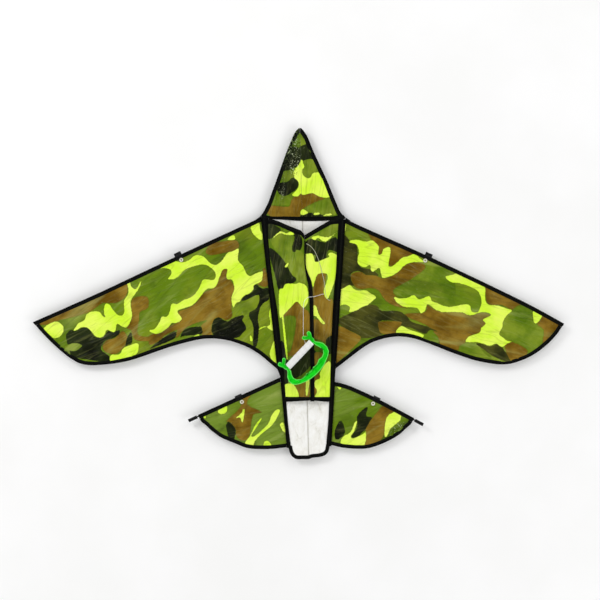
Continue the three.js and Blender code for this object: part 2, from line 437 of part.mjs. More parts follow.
const FORKS = [[[50.5, -2], [51, -11], 5.2], [[51, -11], [56.5, -21.5], 5.6], [[51, -11], [39.0, -22.5], 5.2], [[-50.5, -2], [-50.5, -11], 4.8], [[-50.5, -11], [-38.0, -21.5], 4.6], [[-50.5, -11], [-54.5, -20.5], 5.6]];
const ca = Math.cos(WINDER_ANGLE), sa = Math.sin(WINDER_ANGLE);
const toPlan = ([a, n]) => [WINDER_CENTRE[0] + a * ca + n * sa, WINDER_CENTRE[1] + a * sa - n * ca];
const gripShape = new THREE.Shape([...GRIP_OUTER].reverse().map((p) => new THREE.Vector2(...toPlan(p))));
gripShape.holes.push(new THREE.Path([...GRIP_INNER].reverse().map((p) => new THREE.Vector2(...toPlan(p)))));
const gripGeo = new THREE.ExtrudeGeometry(gripShape, { depth: WINDER_T, bevelEnabled: false });
gripGeo.translate(0, 0, WINDER_Z - WINDER_T / 2);
let frame = solid(gripGeo);
for (const [p, q, r] of FORKS) {
  const d = unit(sub(q, p)), t = Math.atan2(d[1], d[0]), pts = [];
  for (let i = 0; i <= 7; i++) pts.push([q[0] + r * Math.cos(t - Math.PI / 2 + Math.PI * i / 7), q[1] + r * Math.sin(t - Math.PI / 2 + Math.PI * i / 7)]);
  for (let i = 0; i <= 7; i++) pts.push([p[0] + r * 0.9 * Math.cos(t + Math.PI / 2 + Math.PI * i / 7), p[1] + r * 0.9 * Math.sin(t + Math.PI / 2 + Math.PI * i / 7)]);
  frame = frame.add(solid(plate(pts.map(toPlan), WINDER_Z - WINDER_T / 2, WINDER_Z + WINDER_T / 2)));
}
add('winder_frame', geometryOf(frame), 'green');
// wound line: a rounded block round the bar
const wr = 4.5;
const ringPts = (w, t, r, k) => {
  const pts = [];
  for (const [cx, cy, a0] of [[w / 2 - r, t / 2 - r, 0], [-w / 2 + r, t / 2 - r, 90], [-w / 2 + r, -t / 2 + r, 180], [w / 2 - r, -t / 2 + r, 270]]) {
    for (let i = 0; i <= k; i++) pts.push([cx + r * Math.cos((a0 + 90 * i / k) * deg), cy + r * Math.sin((a0 + 90 * i / k) * deg)]);
  }
  return pts;
};
// bar section in (n, z), swept along a
const windPath = [toPlan([-WINDING_L / 2, 0]), toPlan([WINDING_L / 2, 0])];
const winding = solid(sweep(ringPts(WINDING_W, WINDING_T, wr, 4), windPath, 1, WINDER_Z))
  .subtract(solid(sweep([[-5.8, -3.5], [4.7, -3.5], [4.7, 3.5], [-5.8, 3.5]].map(([v, z]) => [-v, z]), [toPlan([-WINDING_L, 0]), toPlan([WINDING_L, 0])], 1, WINDER_Z)));
add('line_winding', geometryOf(winding), 'line');

// ---- loose lines --------------------------------------------------------
const over = (lr, x, y, up) => {
  const x0 = lr === 'left' ? xAt(sl, y) : xAt(sr, y), x1 = xAt(KEEL, y);
  return [x, y, bodySurface(lr, Math.min(1, Math.max(0, (x - x0) / (x1 - x0))), y)[2] + up];
};
const LINE_PATH = [
  [...toPlan([31.6, -10.3]), 33.2], [13.6, -117.0, 32.6], [12.7, -100.0, 31.6], over('left', 12.6, -82, 1.2), over('left', 12.7, -60, 1.2),
  over('left', 12.9, -40, 1.2), over('left', 15, -22, 1.4), [24, -11, 33.2], [32, -9.2, 34.0], [40, -8.6, 33.2], over('right', 50, -6, 1.6), over('right', 60, -2.8, 1.5), over('right', 66.6, -1.6, 1.4),
];
const BRIDLE_PATH = [
  over('right', 20.5, 130.5, 1.6), over('right', 31, 124.5, 1.7), over('right', 42, 111.6, 1.7), over('right', 48, 99.5, 1.7), over('right', 55, 81.3, 1.7), over('right', 63, 50, 1.7),
  over('right', 69, 24, 1.7), [70.8, 0.5, over('right', 70.8, 0.5, 0)[2] + 1.7], over('right', 77.5, -16, 1.7), over('right', 84, -19.2, 1.7),
];
add('flying_line', cord(LINE_PATH, LINE_D / 2), 'line');
add('bridle_line', cord(BRIDLE_PATH, BRIDLE_D / 2), 'line');

export default group;
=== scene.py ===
# Camouflage-print plane-shaped kite with its line winder: visible model, light and camera.
import bpy
import bmesh
import math
import numpy as np
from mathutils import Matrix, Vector, noise


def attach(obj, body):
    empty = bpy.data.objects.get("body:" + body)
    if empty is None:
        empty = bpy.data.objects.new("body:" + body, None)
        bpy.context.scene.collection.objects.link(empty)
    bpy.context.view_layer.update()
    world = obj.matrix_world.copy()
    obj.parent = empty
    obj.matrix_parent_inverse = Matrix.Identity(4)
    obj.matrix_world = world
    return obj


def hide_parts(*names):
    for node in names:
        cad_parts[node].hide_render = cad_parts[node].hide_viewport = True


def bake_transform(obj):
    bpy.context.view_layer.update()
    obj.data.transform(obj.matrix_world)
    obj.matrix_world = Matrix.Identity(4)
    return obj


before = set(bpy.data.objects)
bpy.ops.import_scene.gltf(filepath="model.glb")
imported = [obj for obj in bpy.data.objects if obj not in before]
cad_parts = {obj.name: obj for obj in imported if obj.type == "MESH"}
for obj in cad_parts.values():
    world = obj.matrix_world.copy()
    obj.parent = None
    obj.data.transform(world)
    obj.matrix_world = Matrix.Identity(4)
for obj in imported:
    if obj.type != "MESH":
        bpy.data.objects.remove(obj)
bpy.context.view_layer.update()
scene = bpy.context.scene
scene.view_settings.view_transform = "Standard"
MM = 0.001

# ---------------------------------------------------------------- camera
cam_data = bpy.data.cameras.new("camera")
cam_data.lens = 100
cam_data.sensor_width = 36
cam_data.clip_end = 50
cam = bpy.data.objects.new("camera", cam_data)
scene.collection.objects.link(cam)
cam.location = (0.0040, -0.0173, 4.394 + 0.0145)
cam.rotation_euler = (0, 0, 0)
scene.camera = cam

# ---------------------------------------------------------------- outlines in plan, mm
WING_FRONT_L = [[-99.9,200.0],[-233.3,138.8],[-378.3,71.3],[-523.3,3.0],[-602.4,-32.6],[-700.5,-75.8]]
WING_REAR_L = [[-700.5,-75.8],[-681.5,-97.4],[-655.2,-125.1],[-628.8,-149.6],[-602.4,-170.2],[-576.1,-184.7],[-549.7,-189.4],[-523.3,-188.6],[-483.8,-184.7],[-444.3,-176.8],[-404.7,-164.1],[-365.2,-150.1],[-325.6,-137.2],[-286.1,-126.7],[-259.7,-121.1],[-233.3,-118.8],[-207.0,-120.4],[-180.6,-125.1],[-154.2,-133.5],[-127.9,-144.9],[-101.5,-161.5],[-75.1,-183.4],[-55.9,-199.7]]
WING_FRONT_R = [[123.7,196.8],[162.1,178.4],[214.9,154.9],[320.3,108.2],[425.8,59.2],[531.3,8.8],[610.3,-30.2],[700.5,-79.5]]
WING_REAR_R = [[700.5,-79.5],[681.5,-107.4],[663.1,-127.7],[636.7,-150.1],[610.3,-166.8],[584.0,-178.1],[557.6,-185.7],[531.3,-187.3],[504.9,-184.4],[465.3,-176.5],[425.8,-163.6],[399.4,-154.1],[373.1,-143.6],[346.7,-133.0],[320.3,-123.5],[294.0,-116.7],[267.6,-113.8],[241.2,-115.6],[214.9,-121.7],[188.5,-132.0],[162.1,-148.8],[135.8,-168.9],[97.8,-198.4]]
TAIL_FRONT_L = [[-48.0,-221.1],[-143.7,-264.8],[-265.0,-320.2]]
TAIL_REAR_L = [[-265.0,-320.2],[-257.6,-336.3],[-242.8,-348.9],[-228.1,-362.7],[-204.9,-379.5],[-185.9,-388.0],[-164.8,-396.4],[-141.6,-405.9],[-122.6,-409.6],[-101.5,-410.6],[-80.4,-410.6],[-59.3,-409.1],[-30.8,-405.4]]
TAIL_FRONT_R = [[96.0,-233.2],[114.7,-237.4],[135.8,-244.0],[162.1,-255.3],[188.5,-267.5],[214.9,-280.7],[267.6,-308.6],[305.0,-328.9]]
TAIL_REAR_R = [[305.0,-328.9],[296.6,-344.2],[283.4,-356.1],[267.6,-370.6],[249.1,-382.4],[228.1,-393.0],[201.7,-403.5],[180.6,-408.8],[156.9,-409.8],[135.8,-408.8],[114.7,-406.4],[86.2,-399.6]]
NOSE_L = [[2.1,437.0],[-5.8,429.9],[-13.4,416.7],[-26.6,386.1],[-41.4,346.6],[-58.5,298.1],[-70.1,266.9],[-79.9,239.5],[-88.6,221.9],[-98.3,206.0]]
NOSE_R = [[5.8,437.0],[13.4,429.4],[24.5,411.4],[37.7,379.3],[53.5,344.7],[75.9,296.7],[88.3,266.4],[101.0,235.6],[110.5,215.0],[123.4,200.0]]
HINGE_WL = [[-99.1,202.6],[-55.4,-200.8]]
HINGE_WR = [[123.9,197.9],[97.6,-200.0]]
HINGE_TL = [[-48.0,-219.2],[-30.1,-408.0]]
HINGE_TR = [[96.0,-231.4],[85.9,-403.3]]
SEAM_INNER_L = [[-79.6,198.4],[-79.9,154.1],[-76.7,114.6],[-71.2,61.8],[-63.8,9.1],[-55.1,-43.6],[-49.0,-96.4],[-42.7,-162.3],[-38.2,-207.1],[-35.6,-241.4],[-33.0,-280.9],[-27.4,-346.8],[-22.4,-386.4],[-20.0,-406.4]]
SEAM_INNER_R = [[105.2,196.6],[104.4,180.5],[100.7,114.6],[98.3,61.8],[93.3,9.1],[89.4,-43.6],[87.0,-96.4],[85.7,-149.1],[83.8,-201.8],[82.5,-254.6],[80.9,-294.1],[79.1,-333.6],[76.5,-365.3],[74.3,-386.4],[73.6,-402.7]]
KEEL = [[16.3,154.1],[16.1,114.6],[16.9,75.0],[20.6,48.6],[26.6,22.3],[29.8,-17.3],[31.1,-83.2],[32.4,-149.1],[33.0,-215.0],[32.7,-273.0],[32.4,-288.8]]
HEM_BACK = [[-25.8,-409.6],[-22.4,-421.2],[-16.6,-430.1],[-6.6,-436.5],[11.9,-437.1],[27.7,-436.7],[35.6,-433.8],[56.7,-431.2],[70.4,-426.5],[78.3,-418.5],[81.7,-406.4]]
SPINE = [[4.2,417.0],[26.6,-423.0]]
NOSE_HEM = [[-72.8,203.1],[-41.1,203.1],[6.6,202.6],[51.4,202.6],[89.4,203.1],[84.6,193.4],[49.8,191.0],[5.3,191.3],[-35.6,194.4],[-72.0,197.3]]
EYELETS = {"wing_left": [-309.3, 89.2], "wing_right": [334.8, 88.2], "tail_left": [-149.2, -285.9], "tail_right": [196.7, -290.4]}
KEEL_HEIGHT = [[155, 33], [110, 32.4], [0, 31], [-120, 29], [-290, 26]]
CREASE_HEIGHT = [[200, 15.6], [115, 19.5], [36, 23.5], [-120, 23.5], [-290, 21]]
INTAKE_L = [[0, 196.4], [0.1, 196.2], [0.3, 189.8], [0.5, 181], [0.7, 172.7], [0.9, 165.6], [1, 154.2]]
INTAKE_R = [[0, 196.6], [0.23, 194.2], [0.47, 181.5], [0.68, 170.4], [0.89, 159.3], [1, 153.6]]
SAIL_Z, BACK_Z, NOSE_Z = 14.2, 14.2, 15.3
SLEEVE_W, SLEEVE_R, TAPE_W = 10.5, 3.9, 10.0
OUTLET_Y, INTAKE_TAPE, BASE_Z, GAP = -271.8, 13, 15.2, 0.4
WINDER_CENTRE, WINDER_ANGLE, WINDER_Z = (3.7, -160.4), math.atan2(0.725, 0.687), 39.8

# camouflage patches: colour and outline in mm, painted in order (G green, B brown, K near black, L lime)
PATCHES = {
    "wing_left": [
        ("B", [[-703,-75],[-629,-33],[-523,9],[-450,36],[-450,20],[-455,-7],[-481,-25],[-515,-25],[-539,-41],[-560,-52],[-592,-62],[-629,-70],[-666,-83]]),
        ("B", [[-439,-15],[-399,-9],[-397,-38],[-418,-49],[-420,-70],[-423,-110],[-378,-115],[-378,-125],[-418,-125],[-434,-118],[-442,-96],[-452,-91],[-439,-65]]),
        ("K", [[-613,-115],[-608,-102],[-600,-96],[-587,-99],[-566,-89],[-552,-94],[-544,-104],[-534,-115],[-515,-115],[-502,-99],[-481,-99],[-471,-96],[-473,-107],[-489,-118],[-508,-123],[-515,-131],[-521,-144],[-515,-154],[-502,-162],[-497,-170],[-500,-181],[-584,-170],[-602,-157]]),
        ("G", [[-618,-144],[-602,-133],[-587,-131],[-571,-136],[-576,-144],[-592,-152]]),
        ("B", [[-515,-136],[-505,-123],[-484,-118],[-465,-99],[-455,-107],[-450,-120],[-452,-133],[-465,-146],[-476,-157],[-492,-160],[-508,-154],[-515,-146]]),
        ("K", [[-446,-107],[-442,-100],[-438,-115],[-439,-131],[-450,-136],[-457,-141],[-451,-115]]),
        ("B", [[-318,-49],[-297,-41],[-270,-25],[-249,2],[-225,13],[-210,36],[-202,59],[-192,65],[-187,59],[-190,43],[-181,38],[-169,12],[-177,-30],[-175,-60],[-191,-70],[-210,-63],[-228,-80],[-227,-96],[-229,-110],[-254,-110],[-257,-86],[-239,-70],[-270,-78],[-299,-92],[-318,-115],[-326,-112],[-320,-96],[-352,-110],[-365,-123],[-392,-136],[-392,-110],[-365,-104],[-341,-88],[-323,-78],[-310,-67]]),
        ("B", [[-228,133],[-194,138],[-170,141],[-160,136],[-157,122],[-173,112],[-196,107],[-228,101],[-244,107],[-241,120]]),
        ("B", [[-95,59],[-88,67],[-80,25],[-91,17],[-109,26],[-99,32]]),
        ("K", [[-225,-73],[-210,-63],[-188,-74],[-175,-66],[-149,-57],[-144,-62],[-148,-70],[-140,-83],[-138,-94],[-146,-103],[-165,-118],[-225,-110]]),
        ("K", [[-299,-94],[-260,-87],[-254,-96],[-257,-107],[-299,-112],[-312,-115]]),
        ("K", [[-365,-123],[-326,-99],[-326,-118],[-365,-136],[-392,-146]]),
        ("K", [[-119,20],[-112,25],[-96,13],[-80,14],[-78,-15],[-91,-25],[-102,-41],[-107,-70],[-104,-88],[-109,-136],[-120,-136],[-119,-88],[-130,-62],[-128,-49],[-109,-36],[-104,-4],[-133,-15],[-146,-20],[-150,-15],[-138,-4],[-120,6]]),
        ("L", [[-671,-95],[-666,-86],[-655,-79],[-638,-74],[-626,-80],[-620,-88],[-620,-99],[-624,-108],[-631,-115],[-642,-118],[-650,-115]]),
        ("L", [[-592,-98],[-587,-88],[-579,-78],[-568,-73],[-562,-67],[-560,-58],[-554,-52],[-544,-48],[-531,-47],[-523,-50],[-518,-58],[-514,-62],[-508,-62],[-512,-54],[-513,-41],[-510,-30],[-506,-27],[-497,-30],[-492,-40],[-484,-49],[-476,-57],[-468,-59],[-461,-54],[-459,-44],[-460,-25],[-459,-17],[-452,-7],[-448,6],[-450,21],[-452,25],[-444,30],[-442,20],[-436,13],[-428,12],[-423,18],[-418,29],[-414,32],[-419,17],[-426,5],[-436,-9],[-442,-20],[-442,-36],[-439,-54],[-442,-70],[-448,-83],[-455,-90],[-465,-87],[-478,-80],[-481,-88],[-482,-98],[-489,-102],[-502,-96],[-508,-99],[-510,-107],[-515,-114],[-526,-116],[-536,-112],[-544,-102],[-554,-92],[-566,-88],[-576,-91],[-584,-96]]),
        ("L", [[-497,-176],[-496,-165],[-489,-161],[-476,-161],[-468,-157],[-465,-149],[-457,-141],[-444,-137],[-423,-131],[-423,-154],[-431,-162],[-450,-168],[-476,-174],[-492,-179]]),
        ("L", [[-392,-100],[-392,-96],[-381,-95],[-373,-86],[-365,-73],[-360,-61],[-349,-62],[-343,-56],[-338,-44],[-336,-32],[-331,-26],[-320,-28],[-302,-17],[-289,-13],[-276,-4],[-265,9],[-257,25],[-252,36],[-239,37],[-228,35],[-220,39],[-218,49],[-222,59],[-231,68],[-244,75],[-260,76],[-276,72],[-291,67],[-304,59],[-315,46],[-326,39],[-336,37],[-344,39],[-336,49],[-335,58],[-340,64],[-352,67],[-368,67],[-349,79],[-331,86],[-304,82],[-286,90],[-278,97],[-268,101],[-254,99],[-244,92],[-236,82],[-225,76],[-215,76],[-204,84],[-196,95],[-186,108],[-173,111],[-158,118],[-160,91],[-154,80],[-146,72],[-140,57],[-134,49],[-127,46],[-117,51],[-100,57],[-94,59],[-96,36],[-102,29],[-112,25],[-119,20],[-119,12],[-128,1],[-141,-4],[-150,-13],[-154,-21],[-165,-25],[-171,-38],[-177,-12],[-169,12],[-175,36],[-187,37],[-190,46],[-187,62],[-192,65],[-200,62],[-210,38],[-216,22],[-225,14],[-241,12],[-252,1],[-262,-12],[-273,-25],[-286,-34],[-312,-42],[-319,-49],[-308,-65],[-312,-73],[-323,-78],[-334,-78],[-341,-87],[-352,-96],[-365,-104],[-378,-106]]),
        ("L", [[-104,-96],[-96,-87],[-75,-83],[-78,-52],[-72,-38],[-66,-44],[-62,-83],[-67,-98],[-74,-96],[-86,-88]]),
        ("L", [[-65,-125],[-59,-131],[-53,-154],[-51,-176],[-57,-189],[-72,-173],[-76,-157],[-72,-144]]),
        ("L", [[-125,176],[-104,186],[-102,173],[-95,154],[-96,141],[-107,145],[-120,158],[-125,169]]),
        ("L", [[-186,141],[-181,149],[-170,153],[-167,142]]),
        ("L", [[-276,-114],[-264,-107],[-261,-112]]),
        ("L", [[-128,-112],[-124,-112],[-121,-125],[-127,-125]]),
    ],
    "wing_right": [
        ("G", [[299,36],[331,75],[386,67],[405,51],[413,36],[413,-36],[389,-33],[368,-22],[349,-11],[315,-15],[281,-9],[241,1],[249,20],[268,28]]),
        ("K", [[117,152],[136,138],[154,125],[157,83],[167,68],[188,64],[212,49],[194,43],[178,45],[165,57],[149,58],[138,49],[141,33],[152,17],[133,22],[104,6],[103,62]]),
        ("B", [[188,170],[320,115],[289,99],[276,94],[262,82],[244,72],[237,83],[241,117],[236,122],[225,117],[218,104],[208,107],[214,117],[207,130],[194,140]]),
        ("B", [[138,46],[144,54],[165,57],[178,49],[204,47],[225,39],[257,51],[281,75],[320,83],[334,67],[294,36],[249,9],[268,-17],[294,-38],[254,-33],[228,-17],[210,9],[188,14],[170,12],[154,14],[141,30]]),
        ("B", [[281,-54],[334,-49],[339,-30],[365,-46],[413,-52],[413,-136],[373,-118],[341,-86],[294,-65]]),
        ("K", [[109,-65],[136,-52],[183,-30],[207,-33],[220,-46],[262,-46],[286,-60],[299,-75],[341,-88],[373,-104],[347,-96],[334,-107],[297,-91],[270,-86],[249,-73],[212,-74],[215,-102],[223,-107],[202,-115],[167,-118],[154,-107],[120,-91],[104,-75]]),
        ("B", [[210,-83],[215,-74],[268,-74],[270,-83],[257,-104],[228,-107],[215,-102]]),
        ("B", [[99,-96],[115,-88],[136,-99],[154,-107],[165,-118],[149,-138],[109,-176],[99,-186]]),
        ("K", [[373,-120],[399,-120],[420,-144],[399,-154],[373,-144]]),
        ("B", [[373,-49],[434,-52],[450,-58],[484,-50],[505,-57],[489,-67],[494,-79],[478,-103],[457,-110],[436,-133],[420,-149],[373,-136]]),
        ("G", [[423,-146],[434,-133],[465,-131],[489,-157],[500,-168],[452,-165]]),
        ("K", [[468,-133],[478,-131],[505,-140],[526,-133],[544,-152],[558,-181],[518,-168],[486,-146]]),
        ("B", [[494,20],[531,6],[584,-20],[573,-44],[563,-44],[536,-30],[502,-29],[493,-2]]),
        ("G", [[539,-70],[558,-49],[584,-30],[618,-41],[626,-83],[650,-83],[650,-123],[616,-152],[558,-125],[531,-107]]),
        ("B", [[645,-49],[689,-75],[671,-104],[645,-133],[647,-96],[629,-80]]),
        ("B", [[544,-138],[563,-128],[605,-152],[579,-178],[558,-176]]),
        ("L", [[121,188],[125,186],[125,170],[120,162],[117,175]]),
        ("L", [[133,137],[144,141],[160,141],[178,136],[194,140],[204,133],[212,122],[210,103],[219,104],[223,115],[231,121],[239,122],[243,115],[241,99],[237,75],[244,70],[262,83],[273,94],[286,97],[307,105],[314,101],[318,94],[331,83],[307,83],[289,79],[276,71],[268,62],[257,53],[244,46],[225,41],[220,43],[215,64],[210,67],[204,62],[196,57],[191,62],[190,72],[185,75],[178,70],[167,71],[157,79],[156,94],[160,107],[157,122],[152,130],[141,133]]),
        ("L", [[102,4],[120,14],[133,22],[138,20],[146,12],[157,8],[178,8],[188,1],[204,-9],[199,-16],[183,-30],[165,-37],[152,-45],[133,-49],[136,-36],[120,-29],[102,-33]]),
        ("L", [[252,-9],[265,-13],[289,-11],[304,-4],[318,-16],[344,-7],[352,-20],[365,-25],[381,-32],[397,-36],[413,-34],[413,-46],[397,-49],[365,-44],[349,-33],[339,-29],[334,-44],[330,-49],[322,-52],[312,-38],[281,-36],[268,-30],[257,-21]]),
        ("L", [[257,-104],[268,-87],[278,-88],[294,-96],[326,-107],[330,-112],[320,-119],[278,-114]]),
        ("L", [[388,45],[407,49],[415,53],[431,46],[452,37],[484,22],[492,14],[492,-12],[494,-22],[502,-30],[526,-32],[552,-41],[563,-45],[547,-60],[538,-78],[538,-88],[529,-107],[542,-118],[550,-125],[562,-127],[550,-132],[536,-141],[521,-132],[505,-138],[486,-132],[465,-128],[442,-128],[443,-120],[452,-112],[478,-103],[482,-91],[494,-79],[486,-69],[505,-60],[505,-53],[484,-49],[452,-58],[431,-50],[392,-49],[373,-48],[373,-33],[399,-36],[436,-29],[452,-32],[457,-48],[473,-48],[482,-28],[482,-15],[478,-2],[471,8],[447,20],[420,28],[405,29],[393,36]]),
        ("L", [[620,-40],[645,-49],[634,-73],[621,-77]]),
    ],
    "nose": [
        ("K", [[-38,378],[4,384],[4,344],[-12,331],[-33,323],[-46,326]]),
        ("G", [[-46,320],[-12,323],[-12,307],[-20,299],[-51,294]]),
        ("K", [[-59,291],[-30,294],[-20,303],[-9,304],[-1,296],[-1,283],[-7,273],[-20,264],[-33,257],[-51,262],[-59,281]]),
        ("G", [[-70,268],[-38,257],[-20,262],[-14,254],[-25,233],[-78,238]]),
        ("B", [[-80,231],[-28,228],[-20,241],[-12,256],[4,265],[4,202],[-17,199],[-75,204]]),
        ("K", [[4,389],[17,399],[38,357],[41,349],[25,347],[9,350],[4,344]]),
        ("G", [[4,431],[14,420],[22,397],[12,391],[4,391]]),
        ("B", [[4,265],[36,264],[70,252],[44,241],[14,225],[7,220]]),
        ("G", [[14,225],[62,246],[83,252],[99,207],[33,212]]),
        ("K", [[7,207],[30,213],[72,204],[67,194],[7,194]]),
        ("L", [[-12,323],[1,339],[7,344],[7,265],[-17,258],[-1,278],[0,294],[-12,307]]),
        ("L", [[4,344],[12,349],[17,336],[10,326],[14,312],[25,306],[36,315],[51,320],[67,299],[78,275],[86,257],[70,252],[51,257],[36,265],[4,265]]),
        ("G", [[12,349],[41,353],[54,323],[38,318],[33,307],[25,304],[14,310],[9,323],[16,333]]),
        ("L", [[7,220],[17,220],[25,212],[7,207]]),
        ("L", [[41,212],[54,213],[54,208],[41,207]]),
        ("L", [[67,208],[86,211],[86,206],[67,204]]),
    ],
    "body_left": [
        ("B", [[-41,-52],[-7,-22],[12,-38],[30,-57],[30,-136],[-28,-165],[-41,-83]]),
        ("K", [[-86,188],[-59,178],[-46,165],[-72,144],[-86,152]]),
        ("K", [[-12,162],[9,146],[7,117],[-14,109],[-17,122]]),
        ("G", [[-72,141],[-49,159],[-14,154],[-12,138],[-17,117],[-7,83],[-1,57],[-4,36],[-28,62],[-46,96],[-62,115]]),
        ("K", [[-78,120],[-62,112],[-46,96],[-33,78],[-17,49],[-7,41],[-9,30],[-33,22],[-51,6],[-62,49],[-72,83]]),
        ("G", [[-9,107],[4,112],[14,101],[20,28],[-4,33]]),
        ("B", [[-9,-239],[17,-231],[28,-231],[28,-273],[1,-276]]),
        ("K", [[-46,-123],[-30,-154],[-25,-207],[-30,-244],[-46,-244],[-49,-181]]),
        # near-black patch under the winder: partly the print's near-black and partly a painted shadow of the winder
        ("K", [[-22,-204],[-17,-191],[-1,-176],[14,-160],[28,-148],[36,-141],[38,-154],[36,-181],[25,-199],[7,-215],[-9,-223],[-20,-218]]),
        ("G", [[-41,-65],[-9,-60],[-7,-86],[-12,-118],[-20,-149],[-30,-154],[-38,-118]]),
        ("L", [[-72,141],[-49,163],[-33,158],[-22,162],[-13,158],[-14,154],[-33,154],[-49,158]]),
        ("L", [[-36,70],[-30,79],[-25,80],[-30,70]]),
        ("L", [[-51,6],[-41,13],[-33,25],[-9,25],[4,28],[20,20],[25,4],[25,-22],[13,-38],[1,-25],[-7,-22],[-22,-38],[-41,-58],[-50,-60]]),
        ("L", [[-45,-49],[-41,-49],[-29,-160],[-33,-162]]),
        ("L", [[-33,-239],[-12,-240],[1,-276],[-36,-276],[-38,-249]]),
        ("L", [[20,-228],[29,-223],[25,-260],[20,-268]]),
    ],
    "body_right": [
        ("G", [[33,146],[78,175],[107,188],[104,165],[75,145],[51,150]]),
        ("K", [[17,133],[36,144],[70,134],[99,149],[107,109],[83,115],[75,107],[72,90],[51,83],[41,80],[44,101],[14,101]]),
        ("B", [[51,51],[72,54],[67,4],[78,-17],[91,-20],[91,-123],[57,-123],[36,-110],[36,-70],[57,-67],[46,-33],[36,-36],[38,14]]),
        ("B", [[44,-218],[57,-212],[49,-231],[38,-223]]),
        ("B", [[36,-241],[44,-231],[49,-260],[33,-276]]),
        ("K", [[33,-146],[46,-152],[57,-165],[57,-178],[36,-189]]),
        ("K", [[72,-123],[91,-112],[91,-154],[78,-157]]),
        ("B", [[36,-165],[51,-154],[72,-165],[67,-191],[38,-207]]),
        ("L", [[34,146],[44,140],[51,146],[70,136],[91,152],[104,165],[78,148],[49,152]]),
        ("L", [[14,99],[36,104],[44,83],[62,88],[80,96],[78,104],[86,108],[96,104],[104,94],[99,49],[86,6],[75,-15],[66,6],[75,33],[75,51],[51,51],[41,25],[38,17],[30,43],[17,67]]),
        ("L", [[33,-36],[46,-33],[54,-57],[70,-78],[62,-79],[46,-60],[36,-57]]),
        ("L", [[57,-207],[75,-181],[86,-189],[86,-276],[44,-276],[49,-257],[41,-241],[46,-228],[57,-223]]),
    ],
    "tail_left": [
        ("B", [[-146,-270],[-123,-262],[-136,-292],[-96,-313],[-120,-320],[-128,-368],[-136,-386],[-154,-386],[-165,-373],[-181,-344],[-188,-334],[-154,-302]]),
        ("K", [[-188,-342],[-183,-338],[-165,-360],[-173,-392],[-183,-384],[-191,-352]]),
        ("L", [[-252,-323],[-246,-319],[-244,-331]]),
        ("L", [[-212,-307],[-191,-295],[-188,-307],[-194,-316],[-207,-318]]),
        ("L", [[-146,-306],[-142,-307],[-146,-336],[-149,-339],[-154,-327],[-164,-328],[-150,-315]]),
        ("L", [[-141,-394],[-128,-376],[-112,-344],[-96,-328],[-112,-355],[-125,-376],[-112,-374],[-80,-344],[-72,-323],[-59,-307],[-49,-310],[-67,-344],[-96,-369],[-115,-389],[-120,-405],[-133,-405]]),
        ("L", [[-46,-342],[-41,-339],[-36,-352],[-30,-363],[-32,-368],[-41,-363],[-49,-347]]),
        ("L", [[-91,-392],[-80,-389],[-72,-400],[-80,-408],[-91,-408]]),
    ],
    "tail_right": [
        ("K", [[96,-360],[112,-334],[123,-368],[99,-386]]),
        ("K", [[162,-313],[183,-299],[178,-323],[194,-326],[191,-342],[167,-368],[152,-381],[138,-376],[154,-355],[154,-328]]),
        ("B", [[178,-355],[210,-310],[225,-297],[257,-313],[236,-328],[228,-365],[210,-394],[175,-402]]),
        ("L", [[104,-239],[112,-239],[112,-252],[104,-251]]),
        ("L", [[112,-397],[117,-378],[138,-365],[149,-339],[154,-339],[146,-365],[138,-376],[144,-382],[170,-371],[178,-363],[173,-402],[141,-402]]),
        ("L", [[232,-328],[257,-310],[270,-310],[268,-334],[244,-355],[233,-376],[227,-373]]),
    ],
}

# ---------------------------------------------------------------- plan helpers
def unit(a):
    a = np.asarray(a, float)
    return a / np.linalg.norm(a)


def table(rows, x):
    r = sorted(rows)
    return np.interp(x, [p[0] for p in r], [p[1] for p in r])


def extend(rows, x):
    r = np.array(sorted(rows), float)
    x = np.asarray(x, float)
    out = np.interp(x, r[:, 0], r[:, 1])
    lo = r[0, 1] + (r[1, 1] - r[0, 1]) * (x - r[0, 0]) / (r[1, 0] - r[0, 0])
    hi = r[-2, 1] + (r[-1, 1] - r[-2, 1]) * (x - r[-2, 0]) / (r[-1, 0] - r[-2, 0])
    return np.where(x < r[0, 0], lo, np.where(x > r[-1, 0], hi, out))


def x_at(path, y):
    return extend([[p[1], p[0]] for p in path], y)


def meet(p, d, q, e):
    k = d[0] * e[1] - d[1] * e[0]
    t = ((q[0] - p[0]) * e[1] - (q[1] - p[1]) * e[0]) / k
    return np.array([p[0] + d[0] * t, p[1] + d[1] * t])


def trim_start(path, p, d):
    out = np.array(path, float)
    out[0] = meet(out[0], out[1] - out[0], p, d)
    return out


def trim_end(path, p, d):
    return trim_start(np.array(path)[::-1], p, d)[::-1]


def miters(path, side, start_cut=None, end_cut=None, reach=14.0):
    """Mitred normals; the end cuts turn the last millimetres gradually to the given direction."""
    path = np.asarray(path, float)
    d = np.diff(path, axis=0)
    length = np.linalg.norm(d, axis=1)
    d /= length[:, None]
    n = np.stack([-d[:, 1] * side, d[:, 0] * side], 1)
    m = np.empty_like(path)
    m[0], m[-1] = n[0], n[-1]
    s = n[:-1] + n[1:]
    s /= np.linalg.norm(s, axis=1)[:, None]
    m[1:-1] = s / np.maximum(0.35, (s * n[:-1]).sum(1))[:, None]
    at = np.concatenate([[0], np.cumsum(length)])
    for cut, dist, base in ((start_cut, at, n[0]), (end_cut, at[-1] - at, n[-1])):
        if cut is None:
            continue
        c = np.asarray(cut, float)
        c = c / (c @ base)
        w = np.clip(1 - dist / reach, 0, 1)[:, None]
        m = m * (1 - w) + c * w
    return m


def offset(path, d, side):
    return np.asarray(path, float) + miters(path, side) * d


